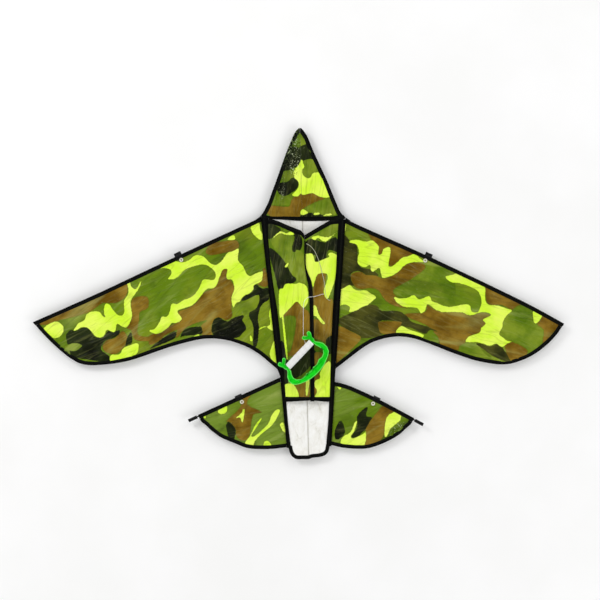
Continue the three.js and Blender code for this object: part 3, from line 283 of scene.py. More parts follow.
def smooth(path, step=4.0):
    """Centripetal Catmull-Rom line through the points, resampled evenly."""
    p = np.asarray(path, float)
    if len(p) > 2:
        ext = np.vstack([2 * p[0] - p[1], p, 2 * p[-1] - p[-2]])
        out = []
        for i in range(1, len(ext) - 2):
            a, b, c, e = ext[i - 1], ext[i], ext[i + 1], ext[i + 2]
            t = [0.0]
            for u, v in ((a, b), (b, c), (c, e)):
                t.append(t[-1] + max(1e-6, np.linalg.norm(v - u)) ** 0.5)
            x = np.linspace(t[1], t[2], 12, endpoint=False)[:, None]
            a1 = (t[1] - x) / (t[1] - t[0]) * a + (x - t[0]) / (t[1] - t[0]) * b
            a2 = (t[2] - x) / (t[2] - t[1]) * b + (x - t[1]) / (t[2] - t[1]) * c
            a3 = (t[3] - x) / (t[3] - t[2]) * c + (x - t[2]) / (t[3] - t[2]) * e
            b1 = (t[2] - x) / (t[2] - t[0]) * a1 + (x - t[0]) / (t[2] - t[0]) * a2
            b2 = (t[3] - x) / (t[3] - t[1]) * a2 + (x - t[1]) / (t[3] - t[1]) * a3
            out.append((t[2] - x) / (t[2] - t[1]) * b1 + (x - t[1]) / (t[2] - t[1]) * b2)
        p = np.vstack(out + [p[-1:]])
    l = np.concatenate([[0], np.cumsum(np.linalg.norm(np.diff(p, axis=0), axis=1))])
    n = max(2, int(round(l[-1] / step)) + 1)
    at = np.linspace(0, l[-1], n)
    return np.stack([np.interp(at, l, p[:, k]) for k in range(p.shape[1])], 1)


def along(path, t):
    """Points at shares t of a path's length."""
    p = np.asarray(path, float)
    l = np.concatenate([[0], np.cumsum(np.linalg.norm(np.diff(p, axis=0), axis=1))])
    return np.stack([np.interp(np.asarray(t) * l[-1], l, p[:, k]) for k in range(p.shape[1])], -1)


def noise_at(pts, scale, seed=0.0):
    """Smooth noise, about -1 to 1, at points in mm."""
    return np.array([noise.noise(Vector((p[0] / scale + seed, p[1] / scale - seed * 0.7, (p[2] if len(p) > 2 else 0.0) / scale + seed * 0.3))) for p in pts])


# ---------------------------------------------------------------- mesh helpers
def make(name, verts, faces, attributes=None, shade=True):
    mesh = bpy.data.meshes.new(name)
    mesh.from_pydata([tuple(v) for v in (np.asarray(verts, float) * MM).tolist()], [], faces)
    mesh.validate()
    for key, values in (attributes or {}).items():
        a = mesh.attributes.new(key, "FLOAT", "POINT")
        a.data.foreach_set("value", np.asarray(values, np.float32))
    if shade:
        mesh.polygons.foreach_set("use_smooth", [True] * len(mesh.polygons))
    mesh.update()
    o = bpy.data.objects.new(name, mesh)
    scene.collection.objects.link(o)
    return o


def grid_faces(nu, nv, base=0, flip=False):
    out = []
    for i in range(nu):
        for j in range(nv):
            a, b = base + i * (nv + 1) + j, base + (i + 1) * (nv + 1) + j
            out.append((a, a + 1, b + 1, b) if flip else (a, b, b + 1, a + 1))
    return out


def sweep(name, path, side, profile, z, start_cut=None, end_cut=None, wobble=0.25, seed=1.0, lift=None):
    """A closed band along a plan path: profile is a loop of (v, height), v from the path towards side."""
    path = np.asarray(path, float)
    prof = np.asarray(profile, float)
    m = miters(path, side, start_cut, end_cut)
    length = np.concatenate([[0], np.cumsum(np.linalg.norm(np.diff(path, axis=0), axis=1))])
    n, k = len(path), len(prof)
    wob = noise_at(np.c_[length, np.zeros(n), np.zeros(n)], 26.0, seed) * wobble
    wob2 = noise_at(np.c_[length, np.zeros(n), np.zeros(n)], 9.0, seed + 7) * wobble * 0.5
    verts, al, ac = [], [], []
    for i in range(n):
        for v, h in prof:
            p = path[i] + m[i] * v
            verts.append((p[0], p[1], z + h * (1 + 0.12 * wob2[i] / max(wobble, 1e-6)) + wob[i] * (0.3 + 0.7 * min(1, v / 8.0))))
            al.append(length[i])
            ac.append(v)
    if lift is not None:
        verts = [(x, y, zz + lift(x, y)) for x, y, zz in verts]
    faces = []
    for i in range(n - 1):
        for j in range(k):
            a, b = i * k + j, i * k + (j + 1) % k
            faces.append((a, b, b + k, a + k) if side > 0 else (a, a + k, b + k, b))
    faces.append(tuple(range(k)) if side < 0 else tuple(reversed(range(k))))
    last = (n - 1) * k
    faces.append(tuple(reversed(range(last, last + k))) if side < 0 else tuple(range(last, last + k)))
    return make(name, verts, faces, {"along": al, "across": ac})


def slab(name, top, bottom, al, ac):
    """A thin closed body from two matching (nu+1, nv+1, 3) grids."""
    nu, nv = top.shape[0] - 1, top.shape[1] - 1
    verts = np.vstack([top.reshape(-1, 3), bottom.reshape(-1, 3)])
    n = (nu + 1) * (nv + 1)
    faces = grid_faces(nu, nv) + grid_faces(nu, nv, n, True)
    ring = [i * (nv + 1) for i in range(nu + 1)] + [nu * (nv + 1) + j for j in range(1, nv + 1)] + [i * (nv + 1) + nv for i in range(nu - 1, -1, -1)] + [j for j in range(nv - 1, 0, -1)]
    for a, b in zip(ring, ring[1:] + ring[:1]):
        faces.append((a, a + n, b + n, b))
    o = make(name, verts, faces, {"along": list(al.ravel()) * 2, "across": list(ac.ravel()) * 2})
    bpy.context.view_layer.objects.active = o
    bm = bmesh.new()
    bm.from_mesh(o.data)
    bmesh.ops.recalc_face_normals(bm, faces=bm.faces)
    bm.to_mesh(o.data)
    bm.free()
    return o


def tube(name, path, radius, sides=8, attributes=True):
    """A round line as a mesh along 3-D points in mm."""
    p = np.asarray(path, float)
    t = np.gradient(p, axis=0)
    t /= np.linalg.norm(t, axis=1)[:, None]
    up = np.array([0, 0, 1.0]) if abs(t[0, 2]) < 0.9 else np.array([1.0, 0, 0])
    nrm = np.cross(t[0], up)
    nrm /= np.linalg.norm(nrm)
    verts, al, ac = [], [], []
    gone = 0.0
    for i in range(len(p)):
        nrm = nrm - t[i] * (nrm @ t[i])
        nrm /= np.linalg.norm(nrm)
        b = np.cross(t[i], nrm)
        if i:
            gone += np.linalg.norm(p[i] - p[i - 1])
        for k in range(sides):
            a = 2 * math.pi * k / sides
            verts.append(p[i] + radius * (math.cos(a) * nrm + math.sin(a) * b))
            al.append(gone)
            ac.append(k / sides)
    faces = []
    for i in range(len(p) - 1):
        for k in range(sides):
            a, c = i * sides + k, i * sides + (k + 1) % sides
            faces.append((a, c, c + sides, a + sides))
    faces.append(tuple(reversed(range(sides))))
    faces.append(tuple(range((len(p) - 1) * sides, len(p) * sides)))
    return make(name, verts, faces, {"along": al, "across": ac} if attributes else None)


def gusset(o, poly, z0, z1):
    """Adds a small flat fold of binding to a piece, from an outline in mm."""
    bm = bmesh.new()
    bm.from_mesh(o.data)
    lo = [bm.verts.new((x * MM, y * MM, z0 * MM)) for x, y in poly]
    hi = [bm.verts.new((x * MM, y * MM, z1 * MM)) for x, y in poly]
    new = [bm.faces.new(hi), bm.faces.new(lo[::-1])]
    for k in range(len(poly)):
        j = (k + 1) % len(poly)
        new.append(bm.faces.new((lo[k], lo[j], hi[j], hi[k])))
    bmesh.ops.recalc_face_normals(bm, faces=new)
    bm.to_mesh(o.data)
    bm.free()


ROOT_FOLD = {
    "left": [(-99.5, 205.6), (-103.5, 200.8), (-112.0, 195.4), (-104.0, 196.0), (-99.7, 199.0)],
    "right": [(124.5, 200.2), (129.5, 196.7), (138.0, 191.0), (130.0, 191.6), (124.5, 195.0)],
}


def finish_mesh(o, levels=1):
    """Applies a subdivision so that the piece is final before it rides."""
    if levels:
        mod = o.modifiers.new("subdivision", "SUBSURF")
        mod.levels = mod.render_levels = levels
        mod.boundary_smooth = "PRESERVE_CORNERS"
        mod.subdivision_type = "CATMULL_CLARK"
        dg = bpy.context.evaluated_depsgraph_get()
        mesh = bpy.data.meshes.new_from_object(o.evaluated_get(dg))
        o.modifiers.clear()
        o.data = mesh
    return o


# ---------------------------------------------------------------- camouflage as distance fields
def distance_in(points, poly):
    """Signed distance to a closed outline, positive inside, in mm."""
    q = np.asarray(poly, float)
    a, b = q, np.roll(q, -1, 0)
    out = np.full(len(points), 1e9)
    inside = np.zeros(len(points), bool)
    for s, e in zip(a, b):
        d = e - s
        w = points - s
        t = np.clip((w @ d) / max(1e-9, d @ d), 0, 1)
        out = np.minimum(out, np.linalg.norm(w - t[:, None] * d, axis=1))
        cross = ((s[1] > points[:, 1]) != (e[1] > points[:, 1]))
        if abs(d[1]) > 1e-9:
            inside ^= cross & (points[:, 0] < d[0] * (points[:, 1] - s[1]) / d[1] + s[0])
    return np.where(inside, out, -out)


def rounded(poly):
    """Closed Catmull-Rom line, so that a patch has no corners."""
    q = np.asarray(poly, float)
    a, b, c, d = np.roll(q, 1, 0), q, np.roll(q, -1, 0), np.roll(q, -2, 0)
    out = []
    for t in (0.0, 0.33, 0.67):
        out.append(0.5 * (2 * b + (c - a) * t + (2 * a - 5 * b + 4 * c - d) * t * t + (3 * b - a - 3 * c + d) * t ** 3))
    return np.stack(out, 1).reshape(-1, 2)


def camouflage(o, key):
    """Writes one signed distance per colour on the mesh's points, painted in order."""
    n = len(o.data.vertices)
    co = np.empty(n * 3, np.float32)
    o.data.vertices.foreach_get("co", co)
    pts = co.reshape(-1, 3)[:, :2].astype(float) / MM
    field = {c: np.full(n, -40.0) for c in "GBKL"}
    for colour, poly in PATCHES[key]:
        q = rounded(poly)
        lo, hi = q.min(0) - 40, q.max(0) + 40
        near = ((pts > lo) & (pts < hi)).all(1)
        d = np.full(n, -40.0)
        if near.any():
            d[near] = distance_in(pts[near], q)
        d = np.clip(d, -40, 40)
        for c in "GBKL":
            field[c] = np.maximum(field[c], d) if c == colour else np.minimum(field[c], -d)
    for c in "GBKL":
        a = o.data.attributes.new("patch_" + c.lower(), "FLOAT", "POINT")
        a.data.foreach_set("value", field[c].astype(np.float32))


# ---------------------------------------------------------------- materials
def srgb(r, g, b):
    f = lambda c: (c / 255 / 12.92) if c / 255 <= 0.04045 else ((c / 255 + 0.055) / 1.055) ** 2.4
    return (f(r), f(g), f(b), 1.0)


class Mat:
    """A small helper that builds a node material."""

    def __init__(self, name, roughness=0.5, **sockets):
        self.m = bpy.data.materials.new(name)
        self.m.use_nodes = True
        self.nodes, self.links = self.m.node_tree.nodes, self.m.node_tree.links
        self.b = self.nodes["Principled BSDF"]
        self.b.inputs["Roughness"].default_value = roughness
        for k, v in sockets.items():
            self.b.inputs[k.replace("_", " ")].default_value = v
        self.object = self.node("ShaderNodeTexCoord").outputs["Object"]

    def node(self, kind, **props):
        n = self.nodes.new(kind)
        for k, v in props.items():
            setattr(n, k, v)
        return n

    def set(self, socket, value):
        if hasattr(value, "is_linked") or hasattr(value, "links"):
            self.links.new(value, socket)
        else:
            socket.default_value = value

    def attr(self, name):
        return self.node("ShaderNodeAttribute", attribute_name=name).outputs["Fac"]

    def math(self, op, a, b=0.0, c=None, clamp=False):  # one Math node
        n = self.node("ShaderNodeMath", operation=op, use_clamp=clamp)
        self.set(n.inputs[0], a)
        self.set(n.inputs[1], b)
        if c is not None:
            self.set(n.inputs[2], c)
        return n.outputs[0]

    def noise(self, scale, detail=3.0, rough=0.55, vector=None, distortion=0.0):
        n = self.node("ShaderNodeTexNoise")
        self.links.new(vector or self.object, n.inputs["Vector"])
        n.inputs["Scale"].default_value = scale
        n.inputs["Detail"].default_value = detail
        n.inputs["Roughness"].default_value = rough
        n.inputs["Distortion"].default_value = distortion
        return n.outputs["Fac"]

    def mapped(self, scale=(1, 1, 1), rotation=(0, 0, 0), location=(0, 0, 0)):
        n = self.node("ShaderNodeMapping", vector_type="TEXTURE")
        self.links.new(self.object, n.inputs["Vector"])
        n.inputs["Scale"].default_value = [1.0 / s for s in scale]
        n.inputs["Rotation"].default_value = rotation
        n.inputs["Location"].default_value = location
        return n.outputs["Vector"]

    def wave(self, scale, vector=None, direction="X", distortion=0.0):
        n = self.node("ShaderNodeTexWave", wave_type="BANDS", bands_direction=direction)
        self.links.new(vector or self.object, n.inputs["Vector"])
        n.inputs["Scale"].default_value = scale
        n.inputs["Distortion"].default_value = distortion
        return n.outputs["Fac"]

    def ramp(self, fac, stops):
        n = self.node("ShaderNodeValToRGB")
        r = n.color_ramp
        while len(r.elements) < len(stops):
            r.elements.new(0.5)
        for e, (pos, col) in zip(r.elements, stops):
            e.position = pos
            e.color = col if len(col) == 4 else (*col, 1)
        self.set(n.inputs["Fac"], fac)
        return n.outputs["Color"]

    def span(self, value, lo, hi, a=0.0, b=1.0, smooth=True):
        n = self.node("ShaderNodeMapRange", interpolation_type="SMOOTHSTEP" if smooth else "LINEAR")
        self.set(n.inputs["Value"], value)
        for k, v in zip(("From Min", "From Max", "To Min", "To Max"), (lo, hi, a, b)):
            n.inputs[k].default_value = v
        return n.outputs["Result"]

    def mix(self, fac, a, b, mode="MIX"):
        n = self.node("ShaderNodeMix", data_type="RGBA", blend_type=mode)
        self.set(n.inputs["Factor"], fac)
        self.set([s for s in n.inputs if s.name == "A" and s.type == "RGBA"][0], a)
        self.set([s for s in n.inputs if s.name == "B" and s.type == "RGBA"][0], b)
        return [s for s in n.outputs if s.type == "RGBA"][0]

    def colour(self, value):
        self.set(self.b.inputs["Base Color"], value)

    def rough(self, value):
        self.set(self.b.inputs["Roughness"], value)

    def bump(self, height, strength=0.3, distance=0.001):
        n = self.node("ShaderNodeBump")
        n.inputs["Strength"].default_value = strength
        n.inputs["Distance"].default_value = distance
        self.set(n.inputs["Height"], height)
        old = self.b.inputs["Normal"]
        if old.is_linked:
            self.links.new(old.links[0].from_socket, n.inputs["Normal"])
        self.links.new(n.outputs["Normal"], old)
        return self


GREEN, OLIVE = srgb(98, 128, 8), srgb(124, 144, 26)
# near-black of the print; the right wing's copy is lighter, a painted sheen of the light on that wing's glossy cloth
DARK_L = (srgb(8, 12, 1), srgb(32, 42, 4))
DARK_R = (srgb(36, 40, 6), srgb(76, 76, 20))


def camo_material(name, angle, base=OLIVE, painted_light_gain=1.0, dark=DARK_L):
    m = Mat(name, 0.36, Specular_IOR_Level=0.12)
    warp = m.math("SUBTRACT", m.noise(170.0, 2.0), 0.5)
    fine = m.math("SUBTRACT", m.noise(700.0, 2.0), 0.5)
    edge = m.math("ADD", m.math("MULTIPLY", warp, 3.0), m.math("MULTIPLY", fine, 1.4))
    big = m.noise(7.0, 3.0)
    soft = m.noise(16.0, 4.0, 0.55)
    print_ = m.noise(150.0, 4.0, 0.6)
    ground = m.mix(m.span(big, 0.40, 0.60), base, GREEN)
    ground = m.mix(m.span(soft, 0.52, 0.66, 0.0, 0.5), ground, srgb(72, 96, 4))
    col = ground
    shades = {
        "G": (srgb(86, 116, 4), srgb(128, 148, 34)),
        "B": (srgb(104, 76, 1), srgb(146, 116, 32)),
        "K": dark,
        "L": (srgb(212, 250, 54), srgb(234, 255, 98)),
    }
    along_ = m.mapped((0.7, 7.0, 1.0), (0, 0, angle))
    fan = m.mapped((0.6, 5.0, 1.0), (0, 0, angle + (0.32 if angle < 1 else 0.1)))
    fold = m.noise(5.5, 2.5, 0.5, fan, 0.5)
    for c in "GBKL":
        # broad folds: painted highlight on their crowns and painted shade in their hollows, laid in before the
        # near-black and the lime so these stay clean
        if c == "K":                   # broad satin folds, seen on the greens and the brown
            col = m.mix(m.span(fold, 0.54, 0.72, 0.0, 0.28 * painted_light_gain), col, srgb(186, 196, 112))
            col = m.mix(m.span(fold, 0.46, 0.28, 0.0, 0.34 * painted_light_gain), col, srgb(22, 28, 2))
        tone = m.mix(m.span(soft, 0.36, 0.66), *shades[c])
        d = m.math("ADD", m.attr("patch_" + c.lower()), edge)
        # each colour was printed with a thin darker rim where it meets the next one
        col = m.mix(m.span(d, -2.6, -0.6, 0.0, 0.35 if c in "LB" else 0.0), col, srgb(52, 66, 12))
        col = m.mix(m.span(d, -0.8, 0.8), col, tone)
    # creases pressed in by folding: long streaks with painted highlight on their crests and painted shade in their
    # hollows, and thin painted highlight lines and painted shade lines along them
    crease = m.noise(15.0, 5.0, 0.58, along_, 0.8)
    thin = m.noise(7.0, 2.0, 0.45, along_, 0.5)
    crease_highlight_line = m.math("SUBTRACT", 1.0, m.math("MULTIPLY", m.math("ABSOLUTE", m.math("SUBTRACT", thin, 0.5)), 46.0), clamp=True)
    other = m.noise(6.0, 2.0, 0.45, fan, 0.4)
    crease_shade_line = m.math("SUBTRACT", 1.0, m.math("MULTIPLY", m.math("ABSOLUTE", m.math("SUBTRACT", other, 0.47)), 52.0), clamp=True)
    mask = m.span(m.noise(11.0, 2.0), 0.42, 0.62)
    col = m.mix(m.math("MULTIPLY", m.span(crease, 0.54, 0.74), 0.11 * painted_light_gain), col, srgb(204, 208, 124))
    col = m.mix(m.math("MULTIPLY", m.span(crease, 0.44, 0.28), 0.22 * painted_light_gain), col, srgb(14, 20, 4))
    col = m.mix(m.math("MULTIPLY", m.math("MULTIPLY", crease_highlight_line, mask), 0.09), col, srgb(208, 214, 150))
    col = m.mix(m.math("MULTIPLY", crease_shade_line, 0.20), col, srgb(12, 16, 4))
    col = m.mix(m.span(print_, 0.62, 0.80, 0.0, 0.16), col, srgb(200, 206, 160))
    # scuffed places: the nose's tip and the right tail plane's tip
    sep = m.node("ShaderNodeSeparateXYZ")
    m.links.new(m.object, sep.inputs[0])
    px, py = sep.outputs[0], sep.outputs[1]
    speck = m.noise(210.0, 5.0, 0.75)
    for cx, cy, rx, ry, power in ((-0.012, 0.375, 0.022, 0.085, 0.9), (0.272, -0.362, 0.045, 0.030, 0.6), (-0.045, 0.285, 0.012, 0.05, 0.3)):
        ex = m.math("DIVIDE", m.math("SUBTRACT", px, cx), rx)
        ey = m.math("DIVIDE", m.math("SUBTRACT", py, cy), ry)
        r2 = m.math("ADD", m.math("MULTIPLY", ex, ex), m.math("MULTIPLY", ey, ey))
        zone = m.span(r2, 1.0, 0.15)
        col = m.mix(m.math("MULTIPLY", m.math("MULTIPLY", zone, m.span(speck, 0.56, 0.62)), power), col, srgb(206, 216, 176))
        col = m.mix(m.math("MULTIPLY", m.math("MULTIPLY", zone, m.span(speck, 0.46, 0.40)), power), col, srgb(16, 22, 8))
    m.colour(col)
    m.rough(m.span(soft, 0.3, 0.7, 0.26, 0.42))
    m.bump(crease, 0.60, 0.0045)
    m.bump(fold, 0.5, 0.006)
    m.bump(m.math("SUBTRACT", crease_highlight_line, crease_shade_line), 0.35, 0.0009)
    weave = m.math("ADD", m.wave(700.0, direction="X"), m.wave(700.0, direction="Y"))
    m.bump(weave, 0.10, 0.0002)
    m.b.inputs["Sheen Weight"].default_value = 0.02
    m.b.inputs["Sheen Roughness"].default_value = 0.4
    m.b.inputs["Coat Weight"].default_value = 0.04
    m.b.inputs["Coat Roughness"].default_value = 0.26
    return m.m


def white_cloth():
    m = Mat("offwhite_cloth", 0.5, Specular_IOR_Level=0.35)
    crease = m.noise(26.0, 7.0, 0.7, m.mapped((2.4, 1.0, 1.0)), 0.7)
    soft = m.noise(8.0, 3.0)
    # the crease noise painted darker in its hollows and paler on its crests: painted shade and painted highlight
    col = m.ramp(crease, [(0.28, srgb(214, 212, 200)), (0.44, srgb(246, 245, 239)), (0.60, srgb(255, 255, 252))])
    col = m.mix(m.span(soft, 0.4, 0.7, 0.0, 0.25), col, srgb(244, 240, 226))
    # felled seam down the middle, with its row of stitches
    sep = m.node("ShaderNodeSeparateXYZ")
    m.links.new(m.object, sep.inputs[0])
    a, b = np.array(SPINE[0], float) * MM, np.array(SPINE[1], float) * MM
    t = (b - a) / np.linalg.norm(b - a)
    far = m.math("ADD", m.math("MULTIPLY", sep.outputs[0], float(-t[1])), m.math("MULTIPLY", sep.outputs[1], float(t[0])))
    far = m.math("ABSOLUTE", m.math("SUBTRACT", far, float(-t[1] * a[0] + t[0] * a[1])))
    along_ = m.math("ADD", m.math("MULTIPLY", sep.outputs[0], float(t[0])), m.math("MULTIPLY", sep.outputs[1], float(t[1])))
    col = m.mix(m.span(far, 0.0022, 0.0008, 0.0, 0.42), col, srgb(150, 142, 118))
    stitch = m.math("MULTIPLY", m.span(far, 0.0007, 0.0004), m.math("GREATER_THAN", m.math("FRACT", m.math("DIVIDE", along_, 0.0034)), 0.3))
    col = m.mix(m.math("MULTIPLY", stitch, 0.6), col, srgb(112, 104, 84))
    m.colour(col)
    m.bump(m.span(far, 0.0030, 0.0012), 0.6, 0.0012)
    m.bump(crease, 0.8, 0.005)
    m.bump(m.math("ADD", m.wave(700.0, direction="X"), m.wave(700.0, direction="Y")), 0.12, 0.0002)
    m.b.inputs["Sheen Weight"].default_value = 0.1
    return m.m


def tape_material(name="black_tape", worn_from=None):
    m = Mat(name, 0.78, Specular_IOR_Level=0.07)
    al, ac = m.attr("along"), m.attr("across")
    rib = m.math("SINE", m.math("MULTIPLY", al, 2 * math.pi / 1.1))
    worn = m.noise(120.0, 4.0, 0.6)
    col = m.mix(m.span(worn, 0.5, 0.8), srgb(2, 3, 2), srgb(13, 15, 11))
    if worn_from is not None:          # frayed stretch near the nose's tip, where the print shows through
        sep = m.node("ShaderNodeSeparateXYZ")
        m.links.new(m.object, sep.inputs[0])
        zone = m.span(sep.outputs[1], worn_from, worn_from + 0.05)
        fray = m.noise(190.0, 6.0, 0.8)
        col = m.mix(m.math("MULTIPLY", zone, m.span(fray, 0.50, 0.56)), col, srgb(58, 78, 26))
        col = m.mix(m.math("MULTIPLY", zone, m.span(fray, 0.57, 0.62)), col, srgb(196, 206, 160))
        m.bump(m.math("MULTIPLY", zone, fray), 0.8, 0.002)
    # a row of stitches near the inner edge and one close to the fold
    dash = m.math("GREATER_THAN", m.math("FRACT", m.math("DIVIDE", al, 3.4)), 0.28)
    for at in (8.4, 6.2):
        row = m.math("LESS_THAN", m.math("ABSOLUTE", m.math("SUBTRACT", ac, at)), 0.3)
        thread = m.math("MULTIPLY", row, dash)
        col = m.mix(m.math("MULTIPLY", thread, 0.7), col, srgb(40, 42, 36))
        m.bump(thread, 0.5, 0.0003)
    m.colour(col)
    m.bump(rib, 0.25, 0.00018)
    m.bump(worn, 0.25, 0.0008)
    m.b.inputs["Sheen Weight"].default_value = 0.01
    m.b.inputs["Sheen Roughness"].default_value = 0.5
    return m.m


def vinyl_material():
    m = Mat("black_vinyl", 0.40, Specular_IOR_Level=0.14)
    worn = m.noise(300.0, 5.0, 0.6)
    m.colour(m.mix(m.span(worn, 0.5, 0.75), srgb(3, 3, 4), srgb(16, 16, 17)))
    m.rough(m.span(worn, 0.35, 0.7, 0.28, 0.5))
    m.bump(m.noise(1500.0, 3.0), 0.2, 0.0003)
    return m.m


def rod_material():
    m = Mat("black_rod", 0.34, Specular_IOR_Level=0.3)
    fibre = m.noise(60.0, 5.0, 0.6, m.mapped((0.15, 12.0, 12.0)))
    m.colour(m.mix(m.span(fibre, 0.4, 0.7), srgb(14, 14, 15), srgb(40, 40, 42)))
    m.rough(m.span(fibre, 0.3, 0.7, 0.25, 0.42))
    m.bump(fibre, 0.25, 0.0003)
    return m.m


def eyelet_material():
    m = Mat("eyelet_metal", 0.38, Metallic=0.12)
    scuff = m.noise(900.0, 4.0, 0.6)
    m.colour(m.mix(m.span(scuff, 0.45, 0.75), srgb(238, 234, 216), srgb(198, 193, 172)))
    m.rough(m.span(scuff, 0.3, 0.7, 0.2, 0.42))
    m.bump(scuff, 0.15, 0.0002)
    return m.m


def plastic_material():
    m = Mat("green_plastic", 0.30, Specular_IOR_Level=0.32)
    worn = m.noise(90.0, 4.0, 0.6)
    grain = m.noise(1600.0, 2.0)
    body = m.mix(m.span(worn, 0.4, 0.7), srgb(0, 200, 10), srgb(8, 226, 24))
    # the rim and its inner wall painted paler green: a painted highlight of the glossy moulded rim
    m.colour(m.mix(m.math("MULTIPLY", m.attr("rim"), 0.55), body, srgb(132, 244, 120)))
    m.rough(m.span(worn, 0.35, 0.7, 0.26, 0.4))
    m.bump(grain, 0.12, 0.0002)
    m.bump(m.noise(220.0, 2.0), 0.1, 0.0006)
    m.b.inputs["Subsurface Weight"].default_value = 0.08
    m.b.inputs["Subsurface Radius"].default_value = (0.002, 0.006, 0.002)
    return m.m


def line_material(name, a, b, pitch):
    m = Mat(name, 0.62, Specular_IOR_Level=0.3)
    al, ac = m.attr("along"), m.attr("across")
    twist = m.math("SINE", m.math("MULTIPLY", m.math("ADD", m.math("DIVIDE", al, pitch), m.math("MULTIPLY", ac, 2.0)), 2 * math.pi))
    # the twist's grooves painted darker than the strands' crowns: painted shade between the strands
    m.colour(m.mix(m.span(twist, -0.6, 0.9), a, b))
    m.bump(twist, 0.35, 0.00012)
    m.b.inputs["Sheen Weight"].default_value = 0.15
    return m.m


CAMO = {
    "left": camo_material("camouflage_cloth_left_wing", math.radians(24)),
    "right": camo_material("camouflage_cloth_right_wing", math.radians(-24), dark=DARK_R),
    "body": camo_material("camouflage_cloth_body", math.radians(80), GREEN),
    "tail": camo_material("camouflage_cloth_tail", math.radians(10), srgb(116, 142, 44), 1.15),
}
WHITE, TAPE, VINYL, ROD = white_cloth(), tape_material(), vinyl_material(), rod_material()
TAPE_WORN = tape_material("black_tape_worn", 0.325)
METAL, PLASTIC = eyelet_material(), plastic_material()
LINE = line_material("flying_line", srgb(246, 246, 243), srgb(255, 255, 254), 1.6)
BRIDLE = line_material("bridle_line", srgb(160, 164, 134), srgb(208, 210, 182), 2.2)


def dress(o, body, material, slot, *nodes):
    o.data.materials.clear()
    o.data.materials.append(material)
    if nodes:
        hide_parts(*nodes)
    if body:
        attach(o, body)
    return o


# ---------------------------------------------------------------- lines first: winding, flying line, bridle
CA, SA = math.cos(WINDER_ANGLE), math.sin(WINDER_ANGLE)


def to_plan(a, n):
    return (WINDER_CENTRE[0] + a * CA + n * SA, WINDER_CENTRE[1] + a * SA - n * CA)


def body_surface(lr, s, y):
    s, y = np.asarray(s, float), np.asarray(y, float)
    seam = SEAM_INNER_L if lr == "left" else SEAM_INNER_R
    x0 = x_at(seam, y) + (-0.9 if lr == "left" else 0.9)
    x1 = x_at(KEEL, y) + (-0.25 if lr == "left" else 0.25)
    sc = table([[200, 0.04], [115, 0.05], [0, 0.13], [-290, 0.16]], y) if lr == "left" else np.full_like(y, 0.05)
    zc, zk = table(CREASE_HEIGHT, y), table(KEEL_HEIGHT, y)
    t = np.clip((s - sc) / (1 - sc), 0, 1)
    z = np.where(s < sc, BASE_Z + (zc - BASE_Z) * s / sc, zc + (zk - zc) * t ** 0.85)
    return np.stack([x0 + (x1 - x0) * s, y, z], -1)


def over(lr, x, y, up):
    seam = SEAM_INNER_L if lr == "left" else SEAM_INNER_R
    x0 = float(x_at(seam, y)) + (0.4 if lr == "left" else -0.4)
    x1 = float(x_at(KEEL, y))
    s = min(1.0, max(0.0, (x - x0) / (x1 - x0)))
    return [x, y, float(body_surface(lr, s, y)[2]) + up]


def section(d, t):
    """Point (n, z) on the bar's wrapped section, d outside the core, t in turns."""
    hw, ht, r = 5.0, 3.3, 1.8
    w, h, rad = hw - r, ht - r, r + d
    parts = [2 * h, math.pi / 2 * rad, 2 * w, math.pi / 2 * rad] * 2
    total = 4 * (w + h) + 2 * math.pi * rad
    s = (t % 1.0) * total
    corners = [(w, h, 0), (-w, h, 90), (-w, -h, 180), (w, -h, 270)]
    starts = [((w + rad, -h), (0, 1), 2 * h), ((w, h + rad), (-1, 0), 2 * w), ((-w - rad, h), (0, -1), 2 * h), ((-w, -h - rad), (1, 0), 2 * w)]
    for (p, e, l), (cx, cy, a0) in zip(starts, corners):
        if s <= l:
            return p[0] + e[0] * s - 0.5, p[1] + e[1] * s
        s -= l
        arc = math.pi / 2 * rad
        if s <= arc:
            a = math.radians(a0) + s / rad
            return cx + rad * math.cos(a) - 0.5, cy + rad * math.sin(a)
        s -= arc
    return w + rad - 0.5, -h


def winding_path():
    pts = []
    t = 0.0
    per = 16
    runs = [(0.5, -44.4, 44.4, 1.02), (1.5, 44.4, -44.4, 1.02), (2.5, -44.4, 44.4, 1.02), (3.5, 44.4, -44.4, 1.03), (4.15, -43.4, 31.6, 6.1)]
    for d, a0, a1, pitch in runs:
        turns = abs(a1 - a0) / pitch
        if d > 4:                      # the last run ends on the side where the line leaves
            turns = math.ceil(turns + t) - t + 0.55
        n = int(turns * per)
        for k in range(n):
            f = k / n
            n_, z_ = section(d, t + turns * f)
            a = a0 + (a1 - a0) * f
            if d > 3:
                a += 0.35 * math.sin(f * 37.0) * (1 if d < 4 else 2.2)
            x, y = to_plan(a, n_)
            pts.append((x, y, WINDER_Z + z_))
        t = (t + turns) % 1.0
    return pts


LOOSE = [
    [*to_plan(31.6, -10.3), 33.2], [13.6, -117.0, 32.6], [12.7, -100.0, 31.6], over("left", 12.6, -82, 1.2), over("left", 12.7, -60, 1.2),
    over("left", 12.9, -40, 1.2), over("left", 15, -22, 1.4), [24, -11, 33.2], [32, -9.2, 34.0], [40, -8.6, 33.2], over("right", 50, -6, 1.6), over("right", 60, -2.8, 1.5), over("right", 66.6, -1.6, 1.4),
]
BRIDLE_PATH = [
    over("right", 20.5, 130.5, 1.6), over("right", 31, 124.5, 1.7), over("right", 42, 111.6, 1.7), over("right", 48, 99.5, 1.7), over("right", 55, 81.3, 1.7), over("right", 63, 50, 1.7),
    over("right", 69, 24, 1.7), [70.8, 0.5, over("right", 70.8, 0.5, 0)[2] + 1.7], over("right", 77.5, -16, 1.7), over("right", 84, -19.2, 1.7),
]


